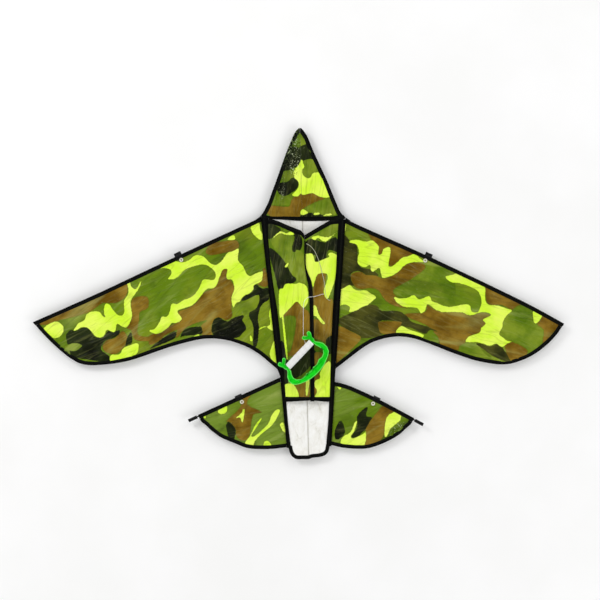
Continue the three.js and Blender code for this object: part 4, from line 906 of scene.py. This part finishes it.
wound = winding_path()
lead = smooth([wound[-1]] + LOOSE, 3.0)[1:]
line_pts = np.array(wound + [tuple(p) for p in lead])
flying = tube("flying_line_piece", line_pts, 0.5, 6)
dress(flying, None, LINE, "flying_line", "flying_line", "line_winding")
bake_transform(flying)
bridle_pts = smooth(BRIDLE_PATH, 3.0)
bridle = tube("bridle_line_piece", bridle_pts, 0.7, 8)
dress(bridle, "fuselage", BRIDLE, "bridle_line", "bridle_line")

# ---------------------------------------------------------------- cloth
def wrinkles(pts, angle, root, amp=1.0, seed=0.0):
    """Height of loose creases, in mm: long folds along one direction and some that fan out from a corner."""
    c, s = math.cos(angle), math.sin(angle)
    u = pts[:, 0] * c + pts[:, 1] * s
    v = -pts[:, 0] * s + pts[:, 1] * c
    z = np.zeros(len(pts))
    long_ = noise_at(np.c_[u * 0.18, v, np.zeros(len(pts))], 17.0, 3.1 + seed)
    z += 1.25 * (1 - np.abs(long_) * 2.2)
    wide = noise_at(np.c_[u, v, np.zeros(len(pts))], 85.0, 5.2 + seed)
    z += 2.1 * wide
    w = pts[:, :2] - np.asarray(root)
    r = np.linalg.norm(w, axis=1)
    th = np.degrees(np.arctan2(w[:, 1], w[:, 0]))
    fan = noise_at(np.c_[th * 3.2, r * 0.02, np.zeros(len(pts))], 10.0, 9.7 + seed)
    z += 1.5 * (1 - np.abs(fan) * 2.4) * np.exp(-r / 190.0)
    small = noise_at(np.c_[u * 0.5, v, np.zeros(len(pts))], 6.5, 1.7 + seed)
    z += 0.28 * small
    return z * amp


def simulate(name, co, faces, pins, slack, frames=16, push=None):
    """Blender's cloth on a coarse sheet pinned along its bindings; returns the settled points, in mm."""
    mesh = bpy.data.meshes.new(name)
    mesh.from_pydata([tuple(v) for v in (co * MM).tolist()], [], faces)
    o = bpy.data.objects.new(name, mesh)
    scene.collection.objects.link(o)
    g = o.vertex_groups.new(name="pin")
    g.add([int(i) for i in np.nonzero(pins)[0]], 1.0, "REPLACE")
    mod = o.modifiers.new("cloth", "CLOTH")
    s = mod.settings
    s.quality = 6
    s.mass = 0.06
    s.tension_stiffness = s.compression_stiffness = 25
    s.shear_stiffness = 15
    s.bending_stiffness = 0.4
    s.air_damping = 2.0
    s.vertex_group_mass = "pin"
    s.shrink_min = -slack
    s.effector_weights.gravity = 0.12
    mod.collision_settings.use_collision = False
    mod.collision_settings.use_self_collision = False
    mod.point_cache.frame_start, mod.point_cache.frame_end = 1, frames
    for f in range(1, frames + 1):
        scene.frame_set(f)
    dg = bpy.context.evaluated_depsgraph_get()
    out = np.empty(len(mesh.vertices) * 3, np.float32)
    ev = o.evaluated_get(dg).to_mesh()
    ev.vertices.foreach_get("co", out)
    out = out.reshape(-1, 3).astype(float) / MM
    o.evaluated_get(dg).to_mesh_clear()
    scene.frame_set(1)
    bpy.data.objects.remove(o)
    bpy.data.meshes.remove(mesh)
    return out


def cloth_grid(name, surface, nu, nv, fade, key, body, material, slot, nodes, crease, slack=0.006, cap=(-5.0, 5.0), sim=True):
    """A cut panel as a fine grid over surface(u, v), pinned along its edges, wrinkled and settled by simulation."""
    u, v = np.meshgrid(np.linspace(0, 1, nu + 1), np.linspace(0, 1, nv + 1), indexing="ij")
    base = surface(u.ravel(), v.ravel())
    edge = np.minimum.reduce([fade[0](u), fade[1](u), fade[2](v), fade[3](v)]).ravel()
    edge = np.clip(edge, 0, 1)
    edge = edge * edge * (3 - 2 * edge)
    dz = crease(base) * edge
    dz = np.clip(dz, cap[0], cap[1])
    co = base.copy()
    co[:, 2] += dz
    if sim:
        cu, cv = max(8, nu // 2), max(8, nv // 2)
        us, vs = np.meshgrid(np.linspace(0, 1, cu + 1), np.linspace(0, 1, cv + 1), indexing="ij")
        cb = surface(us.ravel(), vs.ravel())
        ce = np.clip(np.minimum.reduce([fade[0](us), fade[1](us), fade[2](vs), fade[3](vs)]).ravel(), 0, 1)
        start = cb.copy()
        start[:, 2] += np.clip(crease(cb) * ce * 0.8, *cap)
        grid = np.zeros((cu + 1, cv + 1), bool)
        grid[0, :] = grid[-1, :] = grid[:, 0] = grid[:, -1] = True
        settled = simulate(name + "_sim", start, grid_faces(cu, cv), grid.ravel(), slack)
        move = (settled - start).reshape(cu + 1, cv + 1, 3)
        size = np.linalg.norm(move, axis=2)
        move *= np.minimum(1, 4.5 / np.maximum(size, 1e-6))[..., None]
        fu, fv = u * cu, v * cv
        i, j = np.minimum(fu.astype(int), cu - 1), np.minimum(fv.astype(int), cv - 1)
        a, b = (fu - i)[..., None], (fv - j)[..., None]
        m = move[i, j] * (1 - a) * (1 - b) + move[i + 1, j] * a * (1 - b) + move[i, j + 1] * (1 - a) * b + move[i + 1, j + 1] * a * b
        co += m.reshape(-1, 3) * edge[:, None]
        co[:, 2] = base[:, 2] + np.clip(co[:, 2] - base[:, 2], cap[0], cap[1])
    o = make(name, co, grid_faces(nu, nv))
    bm = bmesh.new()
    bm.from_mesh(o.data)
    bmesh.ops.remove_doubles(bm, verts=bm.verts, dist=2e-5)
    bmesh.ops.recalc_face_normals(bm, faces=bm.faces)
    up = sum(f.normal.z * f.calc_area() for f in bm.faces)
    if up < 0:
        bmesh.ops.reverse_faces(bm, faces=bm.faces)
    bm.to_mesh(o.data)
    bm.free()
    if key:
        camouflage(o, key)
    dress(o, body, material, slot, *nodes)
    return o


def fade_lo(mm, full):
    return lambda t: t * full / mm


def fade_hi(mm, full):
    return lambda t: (1 - t) * full / mm


def arc_profile(angles, r):
    return [(SLEEVE_R + r * math.cos(math.radians(a)), r * math.sin(math.radians(a))) for a in angles]


def binding_profile(w, h):
    up = [(0.15, 0.35 * h), (0.7, 0.8 * h), (1.6, h), (w * 0.4, h * 0.96), (w - 2.6, h), (w - 2.0, h * 0.8), (w - 1.4, h), (w - 0.5, h * 0.94), (w, h * 0.5)]
    return up + [(v, -z) for v, z in reversed(up)]


SLEEVE_LOOP = [(SLEEVE_W, 0.7), (SLEEVE_W - 0.5, 1.25), (9.2, 1.3), (8.5, 1.05), (7.9, 1.35), (7.2, 1.9)] + arc_profile([48, 66, 84, 102, 120, 140, 160, 180, 200, 220, 240, 258, 276, 294, 312], SLEEVE_R) + [(7.2, -1.9), (7.9, -1.35), (8.5, -1.05), (9.2, -1.3), (SLEEVE_W - 0.5, -1.25), (SLEEVE_W, -0.7)]

EYE = {}


def aerofoil(kind, lr, front, rear, hinge, eyelet):
    side = 1 if lr == "left" else -1
    body = f"{lr}_{kind}"
    front, rear, hinge = np.array(front, float), np.array(rear, float), np.array(hinge, float)
    hd = unit(hinge[1] - hinge[0])
    away = np.array([hd[1], -hd[0]])
    if away[0] * side > 0:
        away = -away
    root = hinge[0] + away * GAP
    f = trim_start(front, root, hd)
    fd, rd = unit(f[-1] - f[-2]), unit(rear[1] - rear[0])
    tag = f"{kind}_{lr}"
    sl = sweep(f"{kind}_sleeve_tape_{lr}", smooth(f, 5.0), side, SLEEVE_LOOP, SAIL_Z, hd, rd, 0.22, 2.0 + side)
    if kind == "wing":
        gusset(sl, ROOT_FOLD[lr], SAIL_Z - 0.6, SAIL_Z + 1.2)
    # lip of binding that stands up to the fold axis, so that no gap opens at the seam
    lip = [hinge[0] + hd * 2.0 + away * 0.08, hinge[1] - hd * 1.0 + away * 0.08, hinge[1] - hd * 1.0 + away * 0.78, hinge[0] + hd * 2.0 + away * 0.78]
    gusset(sl, [(float(q[0]), float(q[1])) for q in lip], SAIL_Z - 0.5, SAIL_Z + 2.7)
    dress(finish_mesh(sl, 0), body, TAPE, "black_tape", f"{kind}_spar_sleeve_{lr}")
    inner = offset(f, SLEEVE_W + GAP, side)
    r = trim_end(trim_start(rear, inner[-1], fd), root, hd)
    tape = sweep(f"{kind}_rear_tape_{lr}", smooth(r, 4.0), side, binding_profile(TAPE_W, 1.15), SAIL_Z, fd, hd, 0.3, 4.0 + side)
    dress(tape, body, TAPE, "black_tape", f"{kind}_trailing_tape_{lr}")
    cf, cr = offset(f, 8.6, side), offset(rear, 4.0, side)
    root_in = root + away * 0.2
    a = meet(cf[0], cf[1] - cf[0], root_in, hd)
    b = meet(cf[-1], cf[-1] - cf[-2], cr[0], cr[1] - cr[0])
    c = meet(cr[-1], cr[-1] - cr[-2], root_in, hd)
    top = smooth(np.vstack([a, cf[1:-1], b]), 3.0)
    low = smooth(np.vstack([c, cr[1:-1][::-1], b]), 3.0)
    span = np.linalg.norm(np.diff(top, axis=0), axis=1).sum()
    chord = np.linalg.norm(a - c)
    nu, nv = int(span / 3.6), int(chord / 3.6)

    def surface(u, v):
        p = along(top, u) * (1 - v)[:, None] + along(low, u) * v[:, None]
        return np.c_[p, np.full(len(p), SAIL_Z)]

    ang = math.atan2(fd[1], fd[0])
    corner = c
    e = np.array(EYE.get(tag, eyelet))

    def crease(p):
        z = wrinkles(p, ang, corner, 1.0 if kind == "wing" else 0.7, 3.0 * side + (0 if kind == "wing" else 11))
        near = np.clip(np.linalg.norm(p[:, :2] - e, axis=1) / 26.0 - 0.35, 0, 1)
        return z * near

    return cloth_grid(
        f"{kind}_cloth_{lr}", surface, nu, nv, (fade_lo(14, span), fade_hi(26, span), fade_lo(16, chord), fade_hi(16, chord)), f"{kind}_{lr}", body,
        CAMO["tail"] if kind == "tail" else CAMO[lr], "camouflage_cloth", [f"{kind}_panel_{lr}"], crease, 0.006 if kind == "wing" else 0.004, (-4.5, 5.0),
        True,
    )


aerofoil("wing", "left", WING_FRONT_L, WING_REAR_L, HINGE_WL, EYELETS["wing_left"])
aerofoil("wing", "right", WING_FRONT_R, WING_REAR_R, HINGE_WR, EYELETS["wing_right"])
aerofoil("tail", "left", TAIL_FRONT_L, TAIL_REAR_L, HINGE_TL, EYELETS["tail_left"])
aerofoil("tail", "right", TAIL_FRONT_R, TAIL_REAR_R, HINGE_TR, EYELETS["tail_right"])

# side seams: two bindings sewn on each other, with a fold line along the middle
for lr in ("left", "right"):
    s = 1 if lr == "left" else -1
    hw, ht = (HINGE_WL, HINGE_TL) if lr == "left" else (HINGE_WR, HINGE_TR)
    inner = np.array(SEAM_INNER_L if lr == "left" else SEAM_INNER_R, float)
    corner = [-90.5, 199.2] if lr == "left" else [115.5, 197.2]
    outer = np.array([[hw[0][0], hw[0][1] - 3.0], hw[1], ht[0], [ht[1][0], ht[1][1] + 0.6]], float)
    n = 130
    t = np.linspace(0, 1, n + 1)
    lo, hi = along(outer, t), along(smooth(inner, 4.0), t)
    ks = np.array([0, 0.03, 0.1, 0.3, 0.46, 0.54, 0.7, 0.9, 0.97, 1.0])
    h_top = np.array([14.0, 15.6, 16.2, 16.3, 15.9, 15.5, 16.2, 16.4, 15.8, 14.6])
    w = np.linalg.norm(hi - lo, axis=1)
    top = lo[:, None, :] * (1 - ks)[None, :, None] + hi[:, None, :] * ks[None, :, None]
    al = np.repeat((t * np.linalg.norm(np.diff(lo, axis=0), axis=1).sum())[:, None], len(ks), 1)
    ac = w[:, None] * ks[None, :]
    wob = noise_at(np.c_[al.ravel(), ac.ravel(), np.zeros(al.size)], 22.0, 3.3 * s).reshape(al.shape) * 0.3
    zt = h_top[None, :] + wob * np.where((ks > 0) & (ks < 1), 1, 0)[None, :]
    zb = 26.8 - h_top[None, :] - 0.0 * wob
    o = slab(f"side_seam_{lr}", np.concatenate([top, zt[..., None]], 2), np.concatenate([top, np.broadcast_to(np.clip(zb, 12.9, 14.0), zt.shape)[..., None]], 2), al, ac)
    dress(o, "fuselage", TAPE, "black_tape", f"side_seam_tape_{lr}")

# nose
def spine_x(y):
    return x_at(SPINE, y)


nose_mid = 14.75
for lr, path, side in (("left", NOSE_L, 1), ("right", NOSE_R, -1)):
    p = smooth(path, 4.0)
    o = sweep(f"nose_tape_{lr}", p, side, binding_profile(11.0, 1.7), nose_mid, None, None, 0.25, 6.0 + side)
    me = o.data
    co = np.empty(len(me.vertices) * 3, np.float32)
    me.vertices.foreach_get("co", co)
    co = co.reshape(-1, 3)
    x, y = co[:, 0] / MM, co[:, 1] / MM
    lim = spine_x(y)
    x = np.minimum(x, lim - 0.15) if side > 0 else np.maximum(x, lim + 0.15)
    co[:, 0] = x * MM
    me.vertices.foreach_set("co", co.ravel())
    me.update()
    dress(o, "fuselage", TAPE_WORN if lr == "left" else TAPE, "black_tape", f"nose_edge_tape_{lr}")
    edge = offset(path, 5.0, side)
    yy = np.linspace(204.2, 424, 60)

    def surface(u, v, edge=edge, side=side):
        y = 201.4 + (424 - 201.4) * u
        xe = x_at(edge, np.clip(y, 207.5, 430))
        xe = np.maximum(xe, -90) if side > 0 else np.minimum(xe, 108)
        xc = spine_x(y) - side * 0.25
        xe = np.where((xc - xe) * side < 0.4, xc - side * 0.4, xe)
        return np.c_[xe + (xc - xe) * v, y, np.full(len(y), NOSE_Z)]

    def crease(p, side=side):
        z = 0.9 * (1 - 2.2 * np.abs(noise_at(np.c_[p[:, 0], p[:, 1] * 0.35, np.zeros(len(p))], 13.0, 4.0 * side)))
        return z + 1.2 * np.abs(noise_at(p, 45.0, 2.0 * side))

    cloth_grid(
        f"nose_cloth_{lr}", surface, 64, 26, (fade_lo(12, 220), fade_hi(30, 220), fade_lo(10, 80), fade_hi(6, 80)), "nose", "fuselage",
        CAMO["body"], "camouflage_cloth", [f"nose_panel_{lr}"], crease, 0.004, (-0.4, 3.0), False,
    )
hem = smooth([[-98.9, 206.4], [-93.5, 209.0], [-84, 206.2], [-73.0, 203.4], [-41, 203.1], [0, 202.6], [52, 202.6], [91.0, 203.4], [104, 206], [117.0, 207.5], [123.7, 200.6]], 4.0)
low = smooth([[-99.0, 199.6], [-93.5, 198.6], [-84, 197.2], [-72.2, 196.2], [-36, 193.9], [5, 191.0], [50, 190.8], [85, 193.0], [99, 194.8], [116.0, 195.8], [123.7, 196.0]], 4.0)
t = np.linspace(0, 1, 60)
A, B = along(hem, t), along(low, t)
ks = np.array([0, 0.06, 0.3, 0.7, 0.94, 1])
hz = np.array([15.1, 16.0, 16.5, 16.5, 16.0, 15.1])
top = A[:, None] * (1 - ks)[None, :, None] + B[:, None] * ks[None, :, None]
al = np.repeat((t * 211)[:, None], len(ks), 1)
ac = np.repeat((ks * 10)[None, :], 60, 0)
o = slab("nose_hem", np.concatenate([top, np.broadcast_to(hz[None, :], al.shape)[..., None]], 2), np.concatenate([top, np.full(al.shape, 14.95)[..., None]], 2), al, ac)
dress(o, "fuselage", TAPE, "black_tape", "nose_hem_tape")

# back panel
nl, nr = offset(NOSE_L, 4.0, 1), offset(NOSE_R, 4.0, -1)
sl_, sr_ = np.array(SEAM_INNER_L, float), np.array(SEAM_INNER_R, float)
left_edge = [[p[1], p[0]] for p in nl if 222 < p[1] < 420] + [[208, -77.5], [200, -77.5]] + [[p[1], p[0] + 0.4] for p in sl_ if -400 < p[1] < 190] + [[-407, -18.2], [-426, -13], [-433.9, 11.9]]
right_edge = [[p[1], p[0]] for p in nr if 226 < p[1] < 420] + [[210, 101], [200, 101]] + [[p[1], p[0] - 0.4] for p in sr_ if -400 < p[1] < 190] + [[-403, 72.5], [-421, 69.5], [-428.4, 56], [-433.6, 27.7]]
left_edge.append([424, float(spine_x(424)) - 1.0])
right_edge.append([424, float(spine_x(424)) + 1.0])


def back_surface(u, v):
    y = -433.0 + (424 + 433.0) * u
    xl, xr = table(left_edge, y), table(right_edge, y)
    return np.c_[xl + (xr - xl) * v, y, np.full(len(y), BACK_Z)]


def back_crease(p):
    z = 0.9 * (1 - 2.4 * np.abs(noise_at(np.c_[p[:, 0], p[:, 1] * 0.3, np.zeros(len(p))], 12.0, 8.0))) + 0.9 * noise_at(p, 40.0, 1.0)
    x = p[:, 0] - spine_x(p[:, 1])
    z = z * np.clip(np.abs(x) / 8.0, 0, 1) - 0.9 * np.exp(-(x / 2.2) ** 2)
    return np.where((p[:, 1] > 190), np.minimum(z, 0.2), z)


cloth_grid(
    "back_cloth", back_surface, 210, 44, (fade_lo(8, 857), fade_hi(40, 857), fade_lo(8, 110), fade_hi(8, 110)), None, "fuselage", WHITE, "offwhite_cloth",
    ["back_panel"], back_crease, 0.003, (-0.9, 0.75), False,
)
hb = sweep("back_hem", smooth([[-26.9, -403.0]] + HEM_BACK + [[82.8, -398.5]], 3.5), 1, binding_profile(TAPE_W, 1.35), BACK_Z, None, None, 0.2, 12.0)
dress(hb, "fuselage", TAPE, "black_tape", "back_hem_tape")

# the tunnel's two panels and their bindings
for lr in ("left", "right"):
    intake = INTAKE_L if lr == "left" else INTAKE_R

    def surface(u, v, lr=lr, intake=intake):
        top = table(intake, u) - INTAKE_TAPE + 3.0
        return body_surface(lr, u, (OUTLET_Y - 3) + (top - OUTLET_Y + 3) * v)

    def crease(p, lr=lr):
        k = 1 if lr == "left" else 2
        z = 1.5 * (1 - 2.3 * np.abs(noise_at(np.c_[p[:, 0] * 1.1, p[:, 1] * 0.3, np.zeros(len(p))], 12.0, 14.0 * k)))
        z += 1.0 * noise_at(p, 38.0, 3.0 * k)
        kx = x_at(KEEL, p[:, 1])
        on_line = np.clip(np.abs(p[:, 0] - kx) / 14.0, 0, 1)
        cover = np.where((p[:, 1] < -105) & (p[:, 1] > -235), 0.45, 1.0)
        return z * on_line * cover

    ks = np.linspace(0, 1, 40)
    g = surface(np.repeat(ks, 60), np.tile(np.linspace(0, 1, 60), 40)).reshape(40, 60, 3)
    d1, d2 = np.diff(g, axis=0)[:, :-1], np.diff(g, axis=1)[:-1, :]
    area = float(np.linalg.norm(np.cross(d1, d2), axis=2).sum())
    cloth_grid(
        f"body_cloth_{lr}", surface, 34, 130, (fade_lo(6, 100), fade_hi(6, 100), fade_lo(10, 420), fade_hi(14, 420)), f"body_{lr}", "fuselage",
        CAMO["body"], "camouflage_cloth", [f"body_panel_{lr}"], crease, 0.005, (-1.6, 2.2), False,
    )
    for name, lo_y, hi_y, node in (
        ("intake", lambda s: table(intake, s) - INTAKE_TAPE, lambda s: table(intake, s), f"intake_tape_{lr}"),
        ("outlet", lambda s: -285.6 + 4.1 * s, lambda s: np.full_like(s, OUTLET_Y - GAP), f"outlet_hem_tape_{lr}"),
    ):
        s_ = np.linspace(0, 1, 36)
        kv = np.array([0, 0.05, 0.25, 0.5, 0.75, 0.95, 1.0])
        rise = np.array([0.1, 0.75, 1.05, 1.0, 1.05, 0.75, 0.1])
        L, H = lo_y(s_), hi_y(s_)
        rows = [body_surface(lr, s_, L + (H - L) * k) for k in kv]
        base = np.stack(rows, 1)
        topg, botg = base.copy(), base.copy()
        topg[..., 2] += rise[None, :]
        botg[..., 2] -= 0.6
        al = np.repeat((s_ * 110)[:, None], len(kv), 1)
        ac = np.repeat((kv * 10)[None, :], 36, 0)
        o = slab(f"{name}_binding_{lr}", topg, botg, al, ac)
        dress(o, "fuselage", TAPE, "black_tape", node)

# keel binding, lying over to the right
ky = np.linspace(-284, 139, 120)
kw = table([[150, 2.4], [66, 2.6], [35, 9.2], [-290, 9.2]], ky)
kt = np.array([0, 0.05, 0.25, 0.55, 0.8, 0.95, 1.0])
xx = -1.2 + (kw[:, None] + 1.2) * kt[None, :]
kz = table(KEEL_HEIGHT, ky)[:, None] + 1.5 - 0.1 * np.maximum(0, xx) + noise_at(np.c_[ky, ky * 0, ky * 0], 20.0, 5.0)[:, None] * 0.25 * kt[None, :]
thick = np.array([0.1, 0.55, 0.75, 0.7, 0.75, 0.5, 0.1])
gx = x_at(KEEL, ky)[:, None] + xx
top = np.stack([gx, np.repeat(ky[:, None], len(kt), 1), kz + thick[None, :]], 2)
bot = np.stack([gx, np.repeat(ky[:, None], len(kt), 1), kz - 0.35], 2)
o = slab("keel_binding", top, bot, np.repeat(ky[:, None], len(kt), 1), np.repeat((kt * 9.5)[None, :], 120, 0))
dress(o, "fuselage", TAPE, "black_tape", "keel_tape")

# spine sleeve: a tube of off-white cloth with a flat felled seam
sd = unit(np.array(SPINE[1], float) - np.array(SPINE[0], float))
sp = smooth([SPINE[0], SPINE[1]], 6.0)
ring = [(3.25 * math.cos(math.radians(a)) * (1.0 if a < 180 else 1.0), 3.25 * math.sin(math.radians(a))) for a in range(0, 360, 20)]
o = sweep("spine_sleeve_cloth", sp, 1, ring, 10.4, None, None, 0.15, 15.0)
dress(o, "fuselage", WHITE, "offwhite_cloth", "spine_sleeve")

# ---------------------------------------------------------------- carried-over CAD pieces: finer edges and real materials
def cad(names, material, bevel=0.0, segments=2, angle=35):
    for n in names:
        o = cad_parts[n]
        o.data.materials.clear()
        o.data.materials.append(material)
        if bevel:
            b = o.modifiers.new("bevel", "BEVEL")
            b.width = bevel * MM
            b.segments = segments
            b.limit_method = "ANGLE"
            b.angle_limit = math.radians(angle)
            b.harden_normals = False


cad([f"{k}_spar_{s}" for k in ("wing", "tail") for s in ("left", "right")] + ["spine_rod", "wing_spreader_rod", "tail_spreader_rod"], ROD)
cad([f"{k}_connector_{s}" for k in ("wing", "tail") for s in ("left", "right")], VINYL, 0.45)
cad([f"{k}_socket_{s}" for k in ("wing", "tail") for s in ("left", "right")] + ["tail_spar_cap_left", "tail_spar_cap_right"], VINYL, 0.5)
cad([f"{k}_eyelet_{s}" for k in ("wing", "tail") for s in ("left", "right")], METAL, 0.25, 2, 50)


def raised_rim(o, width, depth):
    """Moulded section: the flat faces lie a little below a rim that runs round every edge."""
    bm = bmesh.new()
    bm.from_mesh(o.data)
    # face value 1 on the rim and 0.6 on its inner wall, which the plastic paints paler as a painted highlight
    layer = bm.faces.layers.float.new("rim")
    bmesh.ops.remove_doubles(bm, verts=bm.verts, dist=1e-5)
    for s in (1.0, -1.0):
        flat = [f for f in bm.faces if f.normal.z * s > 0.999]
        rim = bmesh.ops.inset_region(bm, faces=flat, thickness=width, depth=0.0, use_even_offset=False, use_boundary=True)["faces"]
        for f in rim:
            f[layer] = 1.0
        flat = [f for f in flat if f.is_valid]
        wall = bmesh.ops.inset_region(bm, faces=flat, thickness=width * 0.2, depth=-depth, use_even_offset=False, use_boundary=True)["faces"]
        for f in wall:
            f[layer] = 0.6
    mesh = bpy.data.meshes.new("winder_frame_piece")
    bm.to_mesh(mesh)
    bm.free()
    piece = bpy.data.objects.new("winder_frame_piece", mesh)
    scene.collection.objects.link(piece)
    piece.matrix_world = o.matrix_world.copy()
    b = piece.modifiers.new("bevel", "BEVEL")
    b.width, b.segments, b.limit_method, b.angle_limit = 0.5 * MM, 2, "ANGLE", math.radians(35)
    return piece


dress(raised_rim(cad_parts["winder_frame"], 0.0019, 0.0011), "winder", PLASTIC, "green_plastic", "winder_frame")

# ---------------------------------------------------------------- floor and light
floor_mesh = bpy.data.meshes.new("floor")
floor_mesh.from_pydata([(-8, -8, -0.0012), (8, -8, -0.0012), (8, 8, -0.0012), (-8, 8, -0.0012)], [], [(0, 1, 2, 3)])
floor = bpy.data.objects.new("floor", floor_mesh)
scene.collection.objects.link(floor)
fm = Mat("floor_paper", 0.75, Specular_IOR_Level=0.1)
fm.colour(fm.mix(fm.span(fm.noise(3.0), 0.3, 0.7), srgb(250, 250, 249), srgb(254, 254, 254)))
floor_mesh.materials.append(fm.m)

world = bpy.data.worlds.new("studio")
scene.world = world
world.use_nodes = True
wn, wl = world.node_tree.nodes, world.node_tree.links
sky = wn.new("ShaderNodeTexCoord")
split = wn.new("ShaderNodeSeparateXYZ")
wl.new(sky.outputs["Generated"], split.inputs[0])
fall = wn.new("ShaderNodeMapRange")
fall.interpolation_type = "SMOOTHSTEP"
for k, v in zip(("From Min", "From Max", "To Min", "To Max"), (0.40, 0.92, 1.02, 0.30)):
    fall.inputs[k].default_value = v
wl.new(split.outputs[2], fall.inputs["Value"])
wn["Background"].inputs["Color"].default_value = (1.0, 1.0, 1.0, 1)
wl.new(fall.outputs["Result"], wn["Background"].inputs["Strength"])


def area(name, loc, target, size, power, spread=math.pi):
    d = bpy.data.lights.new(name, "AREA")
    d.shape = "RECTANGLE"
    d.size, d.size_y = size
    d.energy = power
    d.spread = spread
    o = bpy.data.objects.new(name, d)
    o.location = loc
    o.rotation_euler = (Vector(target) - Vector(loc)).to_track_quat("-Z", "Y").to_euler()
    scene.collection.objects.link(o)
    return o


area("key", (-2.1, 1.7, 1.9), (0, 0, 0), (1.2, 0.9), 31)
area("fill", (2.2, -1.5, 1.9), (0, 0, 0), (1.6, 1.1), 17)
area("left", (-1.7, -1.9, 1.8), (0, 0, 0), (1.4, 1.0), 10)
area("right", (1.8, 1.9, 1.8), (0, 0, 0), (1.4, 1.0), 13)
